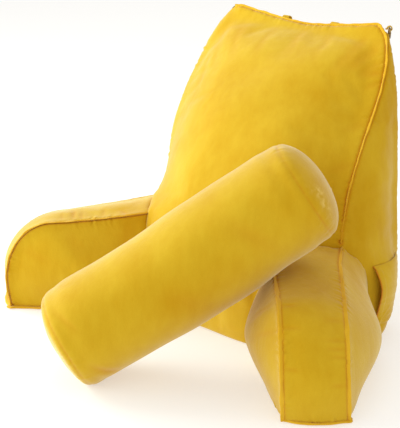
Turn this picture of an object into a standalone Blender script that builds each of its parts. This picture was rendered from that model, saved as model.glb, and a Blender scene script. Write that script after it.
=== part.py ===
"""Reading pillow with arms, as solids at real size.

A wedge backrest, two splayed arms and a loose neck roll, each one filled cushion. Raised self
flanges follow the sewn edges. A pocket cloth, two seam tabs and two rings on loops finish it.
Metres, +Z up, front towards -Y. The origin is on the floor, under the middle of the backrest.
Depths in the tables are counted back from the front edge of the backrest's base.
"""

import bpy
import bmesh
import numpy as np

# Driving dimensions
BASE_MIDDLE = 0.140          # the origin lies this far behind the base's front edge
GAP = 0.0004                 # air between pieces that touch
EAR_RISE = 0.020             # how far the top corners stand above the ridge's middle
EAR_START = 0.446            # and where that rise starts
EAR_POWER = 1.4
FLANGE_WIDTH = 0.0052        # raised self flange, root to tip
FLANGE_THICK = 0.0026
CLOTH_THICK = 0.0022

# Backrest, from the floor up. seam: half width and depth of the front seam. front: depth of
# the panel's middle. power: how square the panel's crown is. side, rear: crowns of those faces.
BACK_COLUMNS = ("height", "seam_x", "seam_y", "front", "power", "side", "rear_x", "rear_y", "rear")
BACK_TABLE = np.array((
    (0.000, 0.262, 0.000, 0.000, 5.5, 0.031, 0.214, 0.241, 0.004),
    (0.012, 0.265, 0.000, -0.004, 5.5, 0.029, 0.223, 0.253, 0.008),
    (0.050, 0.266, 0.000, -0.008, 5.5, 0.022, 0.236, 0.266, 0.012),
    (0.100, 0.266, 0.000, -0.008, 5.5, 0.018, 0.243, 0.272, 0.014),
    (0.140, 0.262, 0.000, -0.005, 5.8, 0.018, 0.243, 0.273, 0.015),
    (0.170, 0.246, 0.000, -0.001, 6.4, 0.021, 0.242, 0.274, 0.015),
    (0.200, 0.227, 0.119, 0.006, 5.8, 0.025, 0.240, 0.274, 0.015),
    (0.218, 0.222, 0.128, 0.013, 4.0, 0.026, 0.239, 0.274, 0.015),
    (0.240, 0.220, 0.136, 0.024, 3.1, 0.026, 0.237, 0.274, 0.015),
    (0.290, 0.219, 0.151, 0.048, 2.7, 0.025, 0.234, 0.275, 0.015),
    (0.340, 0.220, 0.172, 0.076, 2.5, 0.021, 0.230, 0.276, 0.014),
    (0.390, 0.220, 0.199, 0.111, 2.4, 0.016, 0.226, 0.278, 0.012),
    (0.440, 0.217, 0.232, 0.156, 2.3, 0.011, 0.220, 0.281, 0.010),
    (0.482, 0.211, 0.257, 0.202, 2.2, 0.006, 0.210, 0.286, 0.007),
    (0.508, 0.200, 0.275, 0.240, 2.1, 0.002, 0.198, 0.292, 0.003),
    (0.526, 0.187, 0.288, 0.274, 2.0, 0.001, 0.186, 0.297, 0.001),
    (0.536, 0.172, 0.293, 0.293, 2.0, 0.000, 0.172, 0.3005, 0.000),
))
LOW_LEVELS, HIGH_LEVELS = 17, 17             # rows of the loft below and above the turn
LEVEL_TURN = 0.240
SEAM_START = 0.195           # the front flange begins at this height
FRONT_STEPS = 44
SIDE_STEPS = 9

# The upright plane in which each arm is sewn on: across * x - along * y = reach
SEW_NORMAL = np.array((0.820, -0.572))
SEW_REACH = 0.1203

# Arms, in their own plan axes: run is forwards along the arm, across is away from the middle
ARM_ANGLE = np.radians(48.0)
SEAM_TURNS = (0.0, 0.12, 0.45, 0.75, 1.0)  # from the backrest over the top and down to the foot
INNER_SEAM = (0.1255, 0.126, 0.1275, 0.1295, 0.1335)    # across, at those turns
OUTER_SEAM = (0.250, 0.241, 0.2350, 0.2345, 0.2400)
ARM_FRONT = 0.367            # run of the upright front
INNER_BEND, OUTER_BEND = 0.245, 0.222      # run where each seam starts to round over
INNER_TOP, OUTER_TOP = 0.176, 0.164        # height of the seams before the bend
ARM_LOW = 0.060              # height where the rounding ends
ARM_TUCK = 0.010             # the foot is drawn back by this
INNER_RISE, OUTER_RISE = 0.014, 0.023      # the seams climb by this to the backrest
INNER_EASE, OUTER_EASE = 1.6, 1.0          # how late in the climb
STRIP_CROWN = 0.010
INNER_FLARE, INNER_CROWN = 0.012, 0.040
OUTER_FLARE, OUTER_CROWN = 0.044, 0.031
INNER_SQUARE, OUTER_SQUARE = 0.5, 7.0        # how square the flare is at the backrest
INNER_BELLY, OUTER_BELLY = 0.8, 1.5          # where the crown is fullest over the turn
INNER_TOE, OUTER_TOE = 0.0, 0.023            # extra flare at the rear foot corner
TOP_ROWS, BEND_ROWS, FOOT_ROWS = 8, 11, 4
PANEL_STEPS, STRIP_STEPS = 9, 7

ARM_SEAM_ROOT = 0.0012        # the flanges stand this far out of the sewn edge
ARM_SEAM_END = 0.0054         # and end this high, over the base flange
BASE_START = 3               # the base flange leaves out this many panel points at each end
BASE_ROOT = 0.0032           # and keeps this far out of the bulging wall
EAR_SPREAD = 1.5

# Neck roll
ROLL_RADIUS = 0.0935
ROLL_LENGTH = 0.528
ROLL_DOME = 0.030            # how far each end disc stands out beyond its seam
ROLL_SEAM_DIP = 0.003
DISC_ANGLES = (15.0, 30.0, 45.0, 58.0, 70.0, 80.0)     # along the dome, from its middle out
DISC_SHARE = 0.93                # the disc's radius as a share of the roll's
EDGE_SHARE = 0.945               # and the sewn edge's
EDGE_RUN = 0.045                 # the side fills out over this length
ROLL_LEFT = np.array((-0.0405, -0.3152, 0.0606))
ROLL_RIGHT = np.array((0.2612, 0.0006, 0.3458))
ROLL_STEPS = 44

# Pocket cloth on the right side
POCKET_LOW, POCKET_HIGH = 0.030, 0.145
POCKET_MOUTH, POCKET_END = 0.05, 0.93
POCKET_GAPE = 0.016
POCKET_LIFT = 1.5            # puts the widest gape above the middle
POCKET_AIR = 0.0007
POCKET_LEVELS, POCKET_STEPS = 11, 11

# Seam tabs, loops and rings at the top
TAB_PLACES = (-0.056, 0.060)
TAB_WIDTH = 0.026
TAB_RISE = 0.008
TAB_BEHIND, TAB_SUNK = 0.0026, 0.004         # where a tab starts, from the ridge
TAB_FOLD = 0.0045            # radius of its fold
TAB_DROPS = (0.018, 0.014)   # the hanging end, in two lengths
TAB_SLANT = 0.09
RING_RADIUS = 0.0092
RING_WIRE = 0.0016
RING_LEVEL = 0.533           # level of the backrest where the loops are sewn in
RING_OUT = (0.736, 0.676, 0.0)       # from the corner out to the ring
RING_LIFT = 0.001
LOOP_AIR = 0.0012
LOOP_START = 0.0020           # the loop leaves the corner here
LOOP_ANGLES = (200.0, -110.0)        # the loop goes round the wire between these
RING_REACH = 0.0095          # from the seam out to the ring
LOOP_WIDTH = 0.007

VELVET = (0.86, 0.60, 0.07)
FLANGE_VELVET = (0.92, 0.66, 0.12)
BRASS = (0.36, 0.25, 0.10)

parts = None


def clear_scene():
    for thing in list(bpy.data.objects):
        bpy.data.objects.remove(thing, do_unlink=True)


def make_material(name, colour, roughness, metallic):
    material = bpy.data.materials.new(name)
    material.use_nodes = True
    shader = material.node_tree.nodes["Principled BSDF"]
    shader.inputs["Base Color"].default_value = (*colour, 1.0)
    shader.inputs["Roughness"].default_value = roughness
    shader.inputs["Metallic"].default_value = metallic
    return material


def velvet(name, colour=VELVET):
    return make_material(name, colour, 0.85, 0.0)


def brass(name):
    return make_material(name, BRASS, 0.42, 1.0)


def add_solid(name, points, faces, material, smooth=True):
    """One closed body from points and faces, its normals turned out."""
    mesh = bpy.data.meshes.new(name)
    mesh.from_pydata([tuple(p) for p in points], [], faces)
    shape = bmesh.new()
    shape.from_mesh(mesh)
    bmesh.ops.remove_doubles(shape, verts=shape.verts, dist=0.00002)
    bmesh.ops.recalc_face_normals(shape, faces=shape.faces)
    shape.to_mesh(mesh)
    shape.free()
    mesh.materials.append(material)
    if smooth:
        mesh.shade_smooth()
    solid = bpy.data.objects.new(name, mesh)
    parts.objects.link(solid)
    return solid


def ring_faces(count, size):
    """Quads between count closed rings of size points each."""
    faces = []
    for row in range(count - 1):
        for i in range(size):
            j = (i + 1) % size
            faces.append((row * size + i, row * size + j, (row + 1) * size + j, (row + 1) * size + i))
    return faces


def smooth_columns(table, x):
    """Every column of the table at x, on a cubic through the rows that never overshoots."""
    keys = table[:, 0]
    row = int(np.clip(np.searchsorted(keys, x, side="right") - 1, 0, len(keys) - 2))
    step = np.diff(keys)[:, None]
    rise = np.diff(table[:, 1:], axis=0) / step
    slope = np.zeros_like(table[:, 1:])
    both = rise[:-1] * rise[1:] > 0
    mean = 2.0 * rise[:-1] * rise[1:] / np.where(both, rise[:-1] + rise[1:], 1.0)
    slope[1:-1] = np.where(both, mean, 0.0)
    slope[0], slope[-1] = rise[0], rise[-1]
    h = step[row, 0]
    t = (x - keys[row]) / h
    low, high = table[row, 1:], table[row + 1, 1:]
    return (low * (1 + 2 * t) * (1 - t) ** 2 + high * t * t * (3 - 2 * t)
            + slope[row] * h * t * (1 - t) ** 2 - slope[row + 1] * h * t * t * (1 - t))


def sewn_depth(x, clearance=0.0):
    """Least depth at half width x that keeps behind the arm's sewing plane."""
    return (SEW_NORMAL[0] * np.abs(x) - SEW_REACH + clearance) / -SEW_NORMAL[1]


def back_sizes(height):
    sizes = dict(zip(BACK_COLUMNS[1:], smooth_columns(BACK_TABLE, height)))
    sizes["seam_y"] = max(sizes["seam_y"], sewn_depth(sizes["seam_x"], GAP))
    return sizes


def ear(height, x, half):
    """Rise towards the top corners: a power of the place across, growing over the last rows."""
    weight = np.clip((height - EAR_START) / (BACK_TABLE[-1, 0] - EAR_START), 0.0, 1.0) ** 2
    return EAR_RISE * weight * (np.abs(x) / half) ** EAR_POWER


def back_row(height):
    """One level of the backrest, anticlockwise from its front left seam."""
    s = back_sizes(height)
    across = np.linspace(-1.0, 1.0, FRONT_STEPS + 1)
    x = s["seam_x"] * across
    y = s["seam_y"] - (s["seam_y"] - s["front"]) * (1.0 - np.abs(across) ** s["power"])
    t = np.linspace(0.0, 1.0, SIDE_STEPS + 1)[1:-1]
    bulge = 4.0 * t * (1.0 - t) * s["side"]
    side_x = s["seam_x"] + (s["rear_x"] - s["seam_x"]) * t + bulge
    side_y = s["seam_y"] + (s["rear_y"] - s["seam_y"]) * t
    rear_x = -s["rear_x"] * across
    rear_y = s["rear_y"] + s["rear"] * (1.0 - across ** 2)
    xs = np.concatenate((x, side_x, rear_x, -side_x[::-1]))
    ys = np.concatenate((y, side_y, rear_y, side_y[::-1]))
    ys = np.maximum(ys, sewn_depth(xs, GAP))
    zs = height + ear(height, xs, s["seam_x"])
    return np.stack((xs, ys - BASE_MIDDLE, zs), axis=1)


def back_heights():
    """Levels set close together beside the arms and again towards the ridge."""
    low = np.linspace(0.0, LEVEL_TURN, LOW_LEVELS)
    t = np.linspace(0.0, 1.0, HIGH_LEVELS)[1:]
    high = LEVEL_TURN + (BACK_TABLE[-1, 0] - LEVEL_TURN) * (1.0 - (1.0 - t) ** 1.4)
    return np.concatenate((low, high))


def make_backrest():
    rows = [back_row(h) for h in back_heights()]
    size = len(rows[0])
    faces = ring_faces(len(rows), size)
    rear_start = FRONT_STEPS + SIDE_STEPS
    for base in (0, (len(rows) - 1) * size):
        for i in range(FRONT_STEPS):
            j = rear_start + FRONT_STEPS - i
            faces.append((base + i, base + i + 1, base + j - 1, base + j))
        faces.append(tuple(base + k for k in range(FRONT_STEPS, rear_start + 1)))
        faces.append(tuple(base + k % size for k in range(rear_start + FRONT_STEPS, size + 1)))
    add_solid("backrest", np.concatenate(rows), faces, velvet("backrest velvet"))


def arm_profile(top, rise, ease, bend_run):
    """The boxing strip's edge, from the backrest to the foot.

    Each row is (fraction of the run, height, angle of the outward normal in degrees): a top that
    falls gently, a quarter ellipse over the front, and an upright with a tucked foot.
    """
    bend = bend_run / ARM_FRONT
    rows = []
    for t in np.linspace(0.0, 1.0, TOP_ROWS, endpoint=False):
        rows.append((bend * t, top + rise * (1.0 - t) ** ease, 90.0))
    for t in np.linspace(90.0, 0.0, BEND_ROWS, endpoint=False):
        turn = np.radians(t)
        run = bend + (1.0 - bend) * np.cos(turn)
        rows.append((run, ARM_LOW + (top - ARM_LOW) * np.sin(turn), t))
    for t in np.linspace(0.0, 1.0, FOOT_ROWS + 1):
        rows.append((1.0 - ARM_TUCK / ARM_FRONT * t * t, ARM_LOW * (1.0 - t), 0.0))
    return np.array(rows)


def arm_rear_run(across):
    """Run at which the arm meets its sewing plane, for a place across."""
    forwards = np.array((np.cos(ARM_ANGLE), -np.sin(ARM_ANGLE)))
    sideways = np.array((np.sin(ARM_ANGLE), np.cos(ARM_ANGLE)))
    return (SEW_REACH + GAP - across * (SEW_NORMAL @ sideways)) / (SEW_NORMAL @ forwards)


def arm_place(fraction, across, height, out=0.0):
    """Plan axes of the right arm to world axes; fraction 0 is the sewing plane."""
    rear = arm_rear_run(across)
    run = rear + fraction * (ARM_FRONT - rear) + out
    x = run * np.cos(ARM_ANGLE) + across * np.sin(ARM_ANGLE)
    y = -run * np.sin(ARM_ANGLE) + across * np.cos(ARM_ANGLE)
    return np.stack((x, y - BASE_MIDDLE, height), axis=-1)


def panel_offset(reach, turn, flare, square, crown, belly, toe):
    """How far a side panel stands out: reach runs from its rear foot corner to the seam.

    The flare fades along the reach, evenly at the foot and late at the backrest, and the toe
    fades at once. The crown is a parabola along the reach and a half sine over the turn, on a
    little that stays at both ends.
    """
    fade = 1.0 - reach ** (1.0 + square * (1.0 - turn) ** 3)
    fullness = 0.25 + 0.75 * np.sin(np.pi * turn ** belly)
    return flare * fade + toe * (1.0 - reach) ** 8 + crown * 4.0 * reach * (1.0 - reach) * fullness


def arm_row(inner, outer, turn):
    """One fan row over the arm: up the inner panel, across the strip, down the outer panel."""
    reach = np.linspace(0.0, 1.0, PANEL_STEPS + 1)
    q = np.linspace(0.0, 1.0, STRIP_STEPS + 1)[1:-1]
    near = np.interp(turn, SEAM_TURNS, INNER_SEAM)
    far = np.interp(turn, SEAM_TURNS, OUTER_SEAM)
    low = INNER_SEAM[0] + (near - INNER_SEAM[0]) * reach
    low = low - panel_offset(reach, turn, INNER_FLARE, INNER_SQUARE, INNER_CROWN, INNER_BELLY, INNER_TOE)
    high = OUTER_SEAM[0] + (far - OUTER_SEAM[0]) * reach
    high = high + panel_offset(reach, turn, OUTER_FLARE, OUTER_SQUARE, OUTER_CROWN, OUTER_BELLY, OUTER_TOE)
    rise = STRIP_CROWN * 4.0 * q * (1.0 - q)
    angle = np.radians(inner[2])
    run = inner[0] + (outer[0] - inner[0]) * q
    height = inner[1] + (outer[1] - inner[1]) * q + rise * np.sin(angle)
    return np.concatenate((
        arm_place(inner[0] * reach, low, inner[1] * reach),
        arm_place(run, near + (far - near) * q, height, rise * np.cos(angle)),
        arm_place(outer[0] * reach[::-1], high[::-1], outer[1] * reach[::-1])))


def arm_rows():
    inner = arm_profile(INNER_TOP, INNER_RISE, INNER_EASE, INNER_BEND)
    outer = arm_profile(OUTER_TOP, OUTER_RISE, OUTER_EASE, OUTER_BEND)
    turns = np.linspace(0.0, 1.0, len(inner))
    return [arm_row(a, b, t) for a, b, t in zip(inner, outer, turns)]


def mirrored(points, side):
    return np.asarray(points) * np.array((side, 1.0, 1.0))


def make_arm(name, side):
    rows = arm_rows()
    size = len(rows[0])
    faces = []
    for row in range(len(rows) - 1):
        for i in range(size - 1):
            quad = (row * size + i, row * size + i + 1, (row + 1) * size + i + 1, (row + 1) * size + i)
            if i == 0:
                quad = (row * size, row * size + 1, (row + 1) * size + 1)
            elif i == size - 2:
                quad = (row * size + i, row * size + i + 1, (row + 1) * size + i)
            faces.append(quad)
    points = mirrored(np.concatenate(rows), side)
    keep = [0, size - 1]
    for row in range(1, len(rows)):
        points[row * size] = points[0]
        points[row * size + size - 1] = points[size - 1]
    last = (len(rows) - 1) * size
    faces.append((keep[0],) + tuple(range(1, size - 1)) + (keep[1],))
    faces.append((keep[0],) + tuple(last + i for i in range(1, size - 1)) + (keep[1],))
    add_solid(name, points, faces, velvet(name + " velvet"))


def unit(vectors):
    vectors = np.asarray(vectors, dtype=float)
    return vectors / np.linalg.norm(vectors, axis=-1, keepdims=True)


def make_strip(name, path, out, width, thick, material, root=GAP, spread=1.0):
    """A raised flange: a six-sided section with a narrowed tip, carried along a path.

    out points from the seam into the air; it is squared up to the path at each point, and
    spread makes the flange wider there.
    """
    path = np.asarray(path, dtype=float)
    along = unit(np.gradient(path, axis=0))
    out = np.asarray(out, dtype=float)
    out = unit(out - along * np.sum(out * along, axis=1, keepdims=True))
    flat = np.cross(along, out)
    half = thick / 2.0
    section = ((root, half), (root + 0.7 * width, half), (root + width, 0.45 * half),
               (root + width, -0.45 * half), (root + 0.7 * width, -half), (root, -half))
    size = len(section)
    spread = np.ones(len(path)) * spread
    points = np.stack([path + out * (reach * spread)[:, None] + flat * lean
                       for reach, lean in section], axis=1)
    faces = ring_faces(len(path), size)
    faces.append(tuple(range(size)))
    faces.append(tuple((len(path) - 1) * size + i for i in range(size)))
    return add_solid(name, points.reshape(-1, 3), faces, material)


def make_back_seam():
    """The front panel's flange: up the left seam, along the ridge and down the right seam."""
    heights = [h for h in back_heights() if h > SEAM_START]
    side, lean = [], []
    for h in heights:
        row = back_row(h)
        side.append(row[FRONT_STEPS])
        weight = np.clip((h - 0.50) / 0.058, 0.0, 1.0)
        lean.append((0.80, -0.60 * (1.0 - weight), 1.3 * weight ** 2))
    top = back_row(heights[-1])
    rear = top[FRONT_STEPS + SIDE_STEPS:2 * FRONT_STEPS + SIDE_STEPS + 1]
    ridge = (top[:FRONT_STEPS + 1] + rear[::-1]) / 2.0
    keep = ridge[2:-2][::-1]
    path = np.concatenate((side, keep, mirrored(side, -1)[::-1]))
    out = np.concatenate((lean, np.tile((0.0, 0.0, 1.0), (len(keep), 1)), mirrored(lean, -1)[::-1]))
    make_strip("seam_back", path, out, FLANGE_WIDTH, FLANGE_THICK, velvet("back seam velvet", FLANGE_VELVET),
               root=0.0012)


def make_arm_seams(side, word):
    """Flanges on both edges of the boxing strip, each halfway between strip and side panel."""
    rows = np.array(arm_rows())
    for label, column in (("inner", PANEL_STEPS), ("outer", PANEL_STEPS + STRIP_STEPS)):
        path = rows[:, column]
        out = unit(path - rows[:, column - 1]) + unit(path - rows[:, column + 1])
        path[0] = 0.75 * path[0] + 0.25 * path[1]
        path[-1, 2] += ARM_SEAM_END
        make_strip("seam_arm_%s_%s" % (word, label), mirrored(path, side), mirrored(out, side),
                   FLANGE_WIDTH, FLANGE_THICK, velvet("arm %s %s seam velvet" % (word, label), FLANGE_VELVET),
                   root=ARM_SEAM_ROOT)


def make_arm_base(side, word):
    """The base seam's flange: it lies on the floor round the foot, with an ear at each corner."""
    forwards = np.array((np.cos(ARM_ANGLE), -np.sin(ARM_ANGLE), 0.0))
    sideways = np.array((np.sin(ARM_ANGLE), np.cos(ARM_ANGLE), 0.0))
    path = arm_rows()[-1][BASE_START:-BASE_START]
    path[:, 2] = GAP + FLANGE_THICK / 2.0
    count = len(path)
    inner, outer = PANEL_STEPS - BASE_START, PANEL_STEPS - BASE_START + STRIP_STEPS
    out = np.tile(forwards, (count, 1))
    out[:inner] = -sideways
    out[outer + 1:] = sideways
    out[inner] = forwards - sideways
    out[outer] = forwards + sideways
    spread = np.ones(count)
    spread[inner] = spread[outer] = EAR_SPREAD
    make_strip("seam_arm_%s_base" % word, mirrored(path, side), mirrored(out, side), FLANGE_WIDTH,
               FLANGE_THICK, velvet("arm %s base seam velvet" % word, FLANGE_VELVET),
               root=BASE_ROOT, spread=spread)


def make_roll():
    """A turned cushion: two shallow domes, a dip at each seam and a straight, full side."""
    half = ROLL_LENGTH / 2.0
    edge = half - ROLL_DOME
    profile = [(0.0, half)]
    for angle in np.radians(DISC_ANGLES):
        profile.append((DISC_SHARE * ROLL_RADIUS * np.sin(angle), edge + ROLL_DOME * np.cos(angle)))
    profile.append((EDGE_SHARE * ROLL_RADIUS - ROLL_SEAM_DIP, edge))
    for t in (0.12, 0.35, 0.65, 1.0):
        share = EDGE_SHARE + (1.0 - EDGE_SHARE) * np.sin(t * np.pi / 2.0)
        profile.append((ROLL_RADIUS * share, edge - EDGE_RUN * t))
    profile.append((ROLL_RADIUS, 0.5 * (edge - EDGE_RUN)))
    low = [(r, -z) for r, z in profile[::-1]]
    profile = profile + [(ROLL_RADIUS, 0.0)] + low
    mesh = bpy.data.meshes.new("bolster")
    mesh.from_pydata([(r, 0.0, z) for r, z in profile], [(i, i + 1) for i in range(len(profile) - 1)], [])
    mesh.materials.append(velvet("bolster velvet"))
    roll = bpy.data.objects.new("bolster", mesh)
    parts.objects.link(roll)
    turn = roll.modifiers.new("turn", "SCREW")
    turn.axis = "Z"
    turn.steps = ROLL_STEPS
    turn.render_steps = ROLL_STEPS
    turn.use_merge_vertices = True
    turn.merge_threshold = 0.0001
    turn.use_smooth_shade = True
    shift = np.array((0.0, BASE_MIDDLE, 0.0))
    middle = (ROLL_LEFT + ROLL_RIGHT) / 2.0 - shift
    axis = unit(ROLL_RIGHT - ROLL_LEFT)
    roll.location = middle
    roll.rotation_euler = (0.0, np.arccos(axis[2]), np.arctan2(axis[1], axis[0]))


def side_point(height, t, off):
    """A place on the right side panel, off metres out of it; t runs from front seam to rear."""
    s = back_sizes(height)
    x = s["seam_x"] + (s["rear_x"] - s["seam_x"]) * t + 4.0 * t * (1.0 - t) * s["side"]
    y = s["seam_y"] + (s["rear_y"] - s["seam_y"]) * t
    slope_x = s["rear_x"] - s["seam_x"] + 4.0 * (1.0 - 2.0 * t) * s["side"]
    slope_y = s["rear_y"] - s["seam_y"]
    normal = unit((slope_y, -slope_x))
    return np.array((x + off * normal[0], y + off * normal[1] - BASE_MIDDLE, height))


def add_sheet(name, grid, thick, lay, material):
    """An open surface from a grid of points, thickened; lay 1 puts all of it on its outer side."""
    rows, columns = grid.shape[:2]
    faces = []
    for row in range(rows - 1):
        for i in range(columns - 1):
            a = row * columns + i
            faces.append((a, a + 1, a + columns + 1, a + columns))
    mesh = bpy.data.meshes.new(name)
    mesh.from_pydata([tuple(p) for p in grid.reshape(-1, 3)], [], faces)
    mesh.materials.append(material)
    mesh.shade_smooth()
    sheet = bpy.data.objects.new(name, mesh)
    parts.objects.link(sheet)
    cloth = sheet.modifiers.new("cloth", "SOLIDIFY")
    cloth.thickness = thick
    cloth.offset = lay
    cloth.use_even_offset = True
    cloth.use_rim = True
    return sheet


def make_pocket():
    """A cloth over the lower side panel, sewn down behind and below and gaping at its front edge."""
    levels = np.linspace(0.0, 1.0, POCKET_LEVELS)
    steps = np.linspace(0.0, 1.0, POCKET_STEPS)
    grid = []
    for v in levels:
        height = POCKET_LOW + (POCKET_HIGH - POCKET_LOW) * v
        row = []
        for u in steps:
            t = POCKET_MOUTH + (POCKET_END - POCKET_MOUTH) * u
            off = POCKET_AIR + POCKET_GAPE * (1.0 - u) ** 1.6 * np.sin(np.pi * v ** POCKET_LIFT)
            row.append(side_point(height, t, off))
        grid.append(row)
    add_sheet("pocket_panel", np.array(grid), CLOTH_THICK, 1.0, velvet("pocket velvet"))


def make_band(name, path, width, material):
    """A flat band of cloth: width is the vector across it, path runs along its middle."""
    across = np.asarray(width, dtype=float) / 2.0
    path = np.asarray(path, dtype=float)
    add_sheet(name, np.stack((path - across, path, path + across), axis=1), CLOTH_THICK, 0.0, material)


def make_tabs():
    """Each tab leaves the ridge just behind the flange, rises, folds over and hangs behind."""
    ridge = back_row(BACK_TABLE[-1, 0])[FRONT_STEPS + SIDE_STEPS + FRONT_STEPS // 2]
    start = ridge + np.array((0.0, TAB_BEHIND, -TAB_SUNK))
    path = [start]
    for angle in np.radians((180.0, 140.0, 100.0, 60.0, 20.0, 0.0)):
        fold = (0.0, TAB_FOLD * (1.0 + np.cos(angle)), TAB_RISE + TAB_FOLD * np.sin(angle))
        path.append(start + np.array(fold))
    for drop in TAB_DROPS:
        path.append(path[-1] + np.array((0.0, TAB_SLANT * drop, -drop)))
    path = np.array(path)
    for word, place in zip(("left", "right"), TAB_PLACES):
        path[:, 0] = place
        rise = np.array((0.0, 0.0, ear(BACK_TABLE[-1, 0], place, BACK_TABLE[-1, 1])))
        make_band("top_tab_" + word, path + rise, (TAB_WIDTH, 0.0, 0.0),
                  velvet("top tab %s velvet" % word, FLANGE_VELVET))


def make_rings():
    """A ring hangs from a loop behind each top corner; the loop passes round the ring's wire."""
    corner = back_row(RING_LEVEL)[FRONT_STEPS + SIDE_STEPS]
    outwards = unit(RING_OUT)
    plane = np.array((-outwards[1], outwards[0], 0.0))
    hang = corner + outwards * RING_REACH + np.array((0.0, 0.0, RING_LIFT))
    centre = hang - np.array((0.0, 0.0, RING_RADIUS))
    for word, side in (("left", -1), ("right", 1)):
        place = mirrored(centre, side)
        normal = mirrored(outwards, side)
        bpy.ops.mesh.primitive_torus_add(
            major_segments=24, minor_segments=8, major_radius=RING_RADIUS, minor_radius=RING_WIRE,
            location=place, rotation=(0.0, np.pi / 2.0, np.arctan2(normal[1], normal[0])))
        ring = bpy.context.object
        ring.name = "ring_" + word
        ring.data.materials.append(brass("ring %s brass" % word))
        ring.data.shade_smooth()
        for collection in list(ring.users_collection):
            collection.objects.unlink(ring)
        parts.objects.link(ring)
        radius = RING_WIRE + LOOP_AIR + CLOTH_THICK / 2.0
        path = [mirrored(corner + outwards * LOOP_START, side)]
        for angle in np.radians(np.linspace(*LOOP_ANGLES, 13)):
            path.append(mirrored(hang, side) + normal * radius * np.cos(angle)
                        + np.array((0.0, 0.0, radius * np.sin(angle))))
        make_band("ring_tab_" + word, path, mirrored(plane, side) * LOOP_WIDTH,
                  velvet("ring tab %s velvet" % word, FLANGE_VELVET))


def main():
    global parts
    clear_scene()
    parts = bpy.data.collections.new("reading pillow with arms")
    bpy.context.scene.collection.children.link(parts)
    make_backrest()
    make_arm("arm_right", 1)
    make_arm("arm_left", -1)
    make_back_seam()
    make_arm_seams(1, "right")
    make_arm_seams(-1, "left")
    make_arm_base(1, "right")
    make_arm_base(-1, "left")
    make_roll()
    make_pocket()
    make_tabs()
    make_rings()


main()
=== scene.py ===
"""Reading pillow with arms in yellow velvet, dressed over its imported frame.

Four filled cushions (backrest, two arms, neck roll) are lofted from the same sizes as the solids,
inflated as cloth between their sewn edges, and then given grooves, puckers and soft creases.
Raised sewn edges, the pocket cloth, two top tabs, ring loops and brass rings finish it.
Metres, +Z up, front towards -Y. Depths in the tables count back from the base's front edge.
"""

import bmesh
import bpy
import numpy as np
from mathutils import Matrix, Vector


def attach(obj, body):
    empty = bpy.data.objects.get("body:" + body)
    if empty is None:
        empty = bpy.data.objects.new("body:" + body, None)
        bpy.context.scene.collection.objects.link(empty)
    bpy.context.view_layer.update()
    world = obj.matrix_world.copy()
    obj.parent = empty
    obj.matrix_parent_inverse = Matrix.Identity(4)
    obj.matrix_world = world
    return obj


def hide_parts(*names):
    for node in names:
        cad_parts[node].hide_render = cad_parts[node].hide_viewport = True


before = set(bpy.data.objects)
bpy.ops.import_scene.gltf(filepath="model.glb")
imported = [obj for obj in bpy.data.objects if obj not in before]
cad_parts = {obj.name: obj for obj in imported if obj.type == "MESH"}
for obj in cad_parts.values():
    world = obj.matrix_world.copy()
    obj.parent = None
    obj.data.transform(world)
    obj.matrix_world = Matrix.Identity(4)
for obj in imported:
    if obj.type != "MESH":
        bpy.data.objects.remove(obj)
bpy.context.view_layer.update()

# Camera at the photograph's angle
VIEW_AZIMUTH, VIEW_ELEVATION = np.radians(42.5657), np.radians(18.9783)
VIEW_DISTANCE = 2.19
VIEW_TARGET = np.array((-0.003, -0.140, 0.227))
VIEW_LENS, VIEW_SENSOR = 100.99, 36.0

# Backrest, from the floor up
BASE_MIDDLE = 0.140
GAP = 0.0004
EAR_RISE, EAR_START, EAR_POWER = 0.020, 0.446, 1.4
CORNER_DROP, CORNER_START, CORNER_END = 0.0045, 0.86, 1.04   # the ridge's corners round off between these
BACK_COLUMNS = ("height", "seam_x", "seam_y", "front", "power", "side", "rear_x", "rear_y", "rear")
BACK_TABLE = np.array((
    (0.000, 0.262, 0.000, 0.000, 5.5, 0.031, 0.214, 0.241, 0.004),
    (0.012, 0.265, 0.000, -0.004, 5.5, 0.029, 0.223, 0.253, 0.008),
    (0.050, 0.266, 0.000, -0.008, 5.5, 0.022, 0.236, 0.266, 0.012),
    (0.100, 0.266, 0.000, -0.008, 5.5, 0.018, 0.243, 0.272, 0.014),
    (0.140, 0.262, 0.000, -0.005, 5.8, 0.018, 0.243, 0.273, 0.015),
    (0.170, 0.246, 0.000, -0.001, 6.4, 0.021, 0.242, 0.274, 0.015),
    (0.200, 0.227, 0.119, 0.006, 5.8, 0.025, 0.240, 0.274, 0.015),
    (0.218, 0.222, 0.128, 0.013, 4.0, 0.026, 0.239, 0.274, 0.015),
    (0.240, 0.220, 0.136, 0.024, 3.1, 0.026, 0.237, 0.274, 0.015),
    (0.290, 0.219, 0.151, 0.048, 2.7, 0.025, 0.234, 0.275, 0.015),
    (0.340, 0.220, 0.172, 0.076, 2.5, 0.021, 0.230, 0.276, 0.014),
    (0.390, 0.220, 0.199, 0.111, 2.4, 0.016, 0.226, 0.278, 0.012),
    (0.440, 0.217, 0.232, 0.156, 2.3, 0.011, 0.220, 0.281, 0.010),
    (0.482, 0.211, 0.257, 0.202, 2.2, 0.006, 0.210, 0.286, 0.007),
    (0.508, 0.200, 0.275, 0.240, 2.1, 0.002, 0.198, 0.292, 0.003),
    (0.526, 0.187, 0.288, 0.274, 2.0, 0.001, 0.186, 0.297, 0.001),
    (0.536, 0.172, 0.293, 0.293, 2.0, 0.000, 0.172, 0.3005, 0.000),
))
BACK_TOP = BACK_TABLE[-1, 0]
SEW_NORMAL = np.array((0.820, -0.572))
SEW_REACH = 0.1203
BACK_ROWS, BACK_FRONT, BACK_SIDE = 90, 84, 20
SEAM_START, BACK_SEAM_ROWS = 0.195, 120
LEFT_BEHIND = np.array((0.0030, 0.0072, 0.0))     # the left edge lies this far behind the filling
LEFT_SHARE, LEFT_NARROW = (0.166, 0.190), 0.6     # half widths where that begins; how much narrower it is
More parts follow.
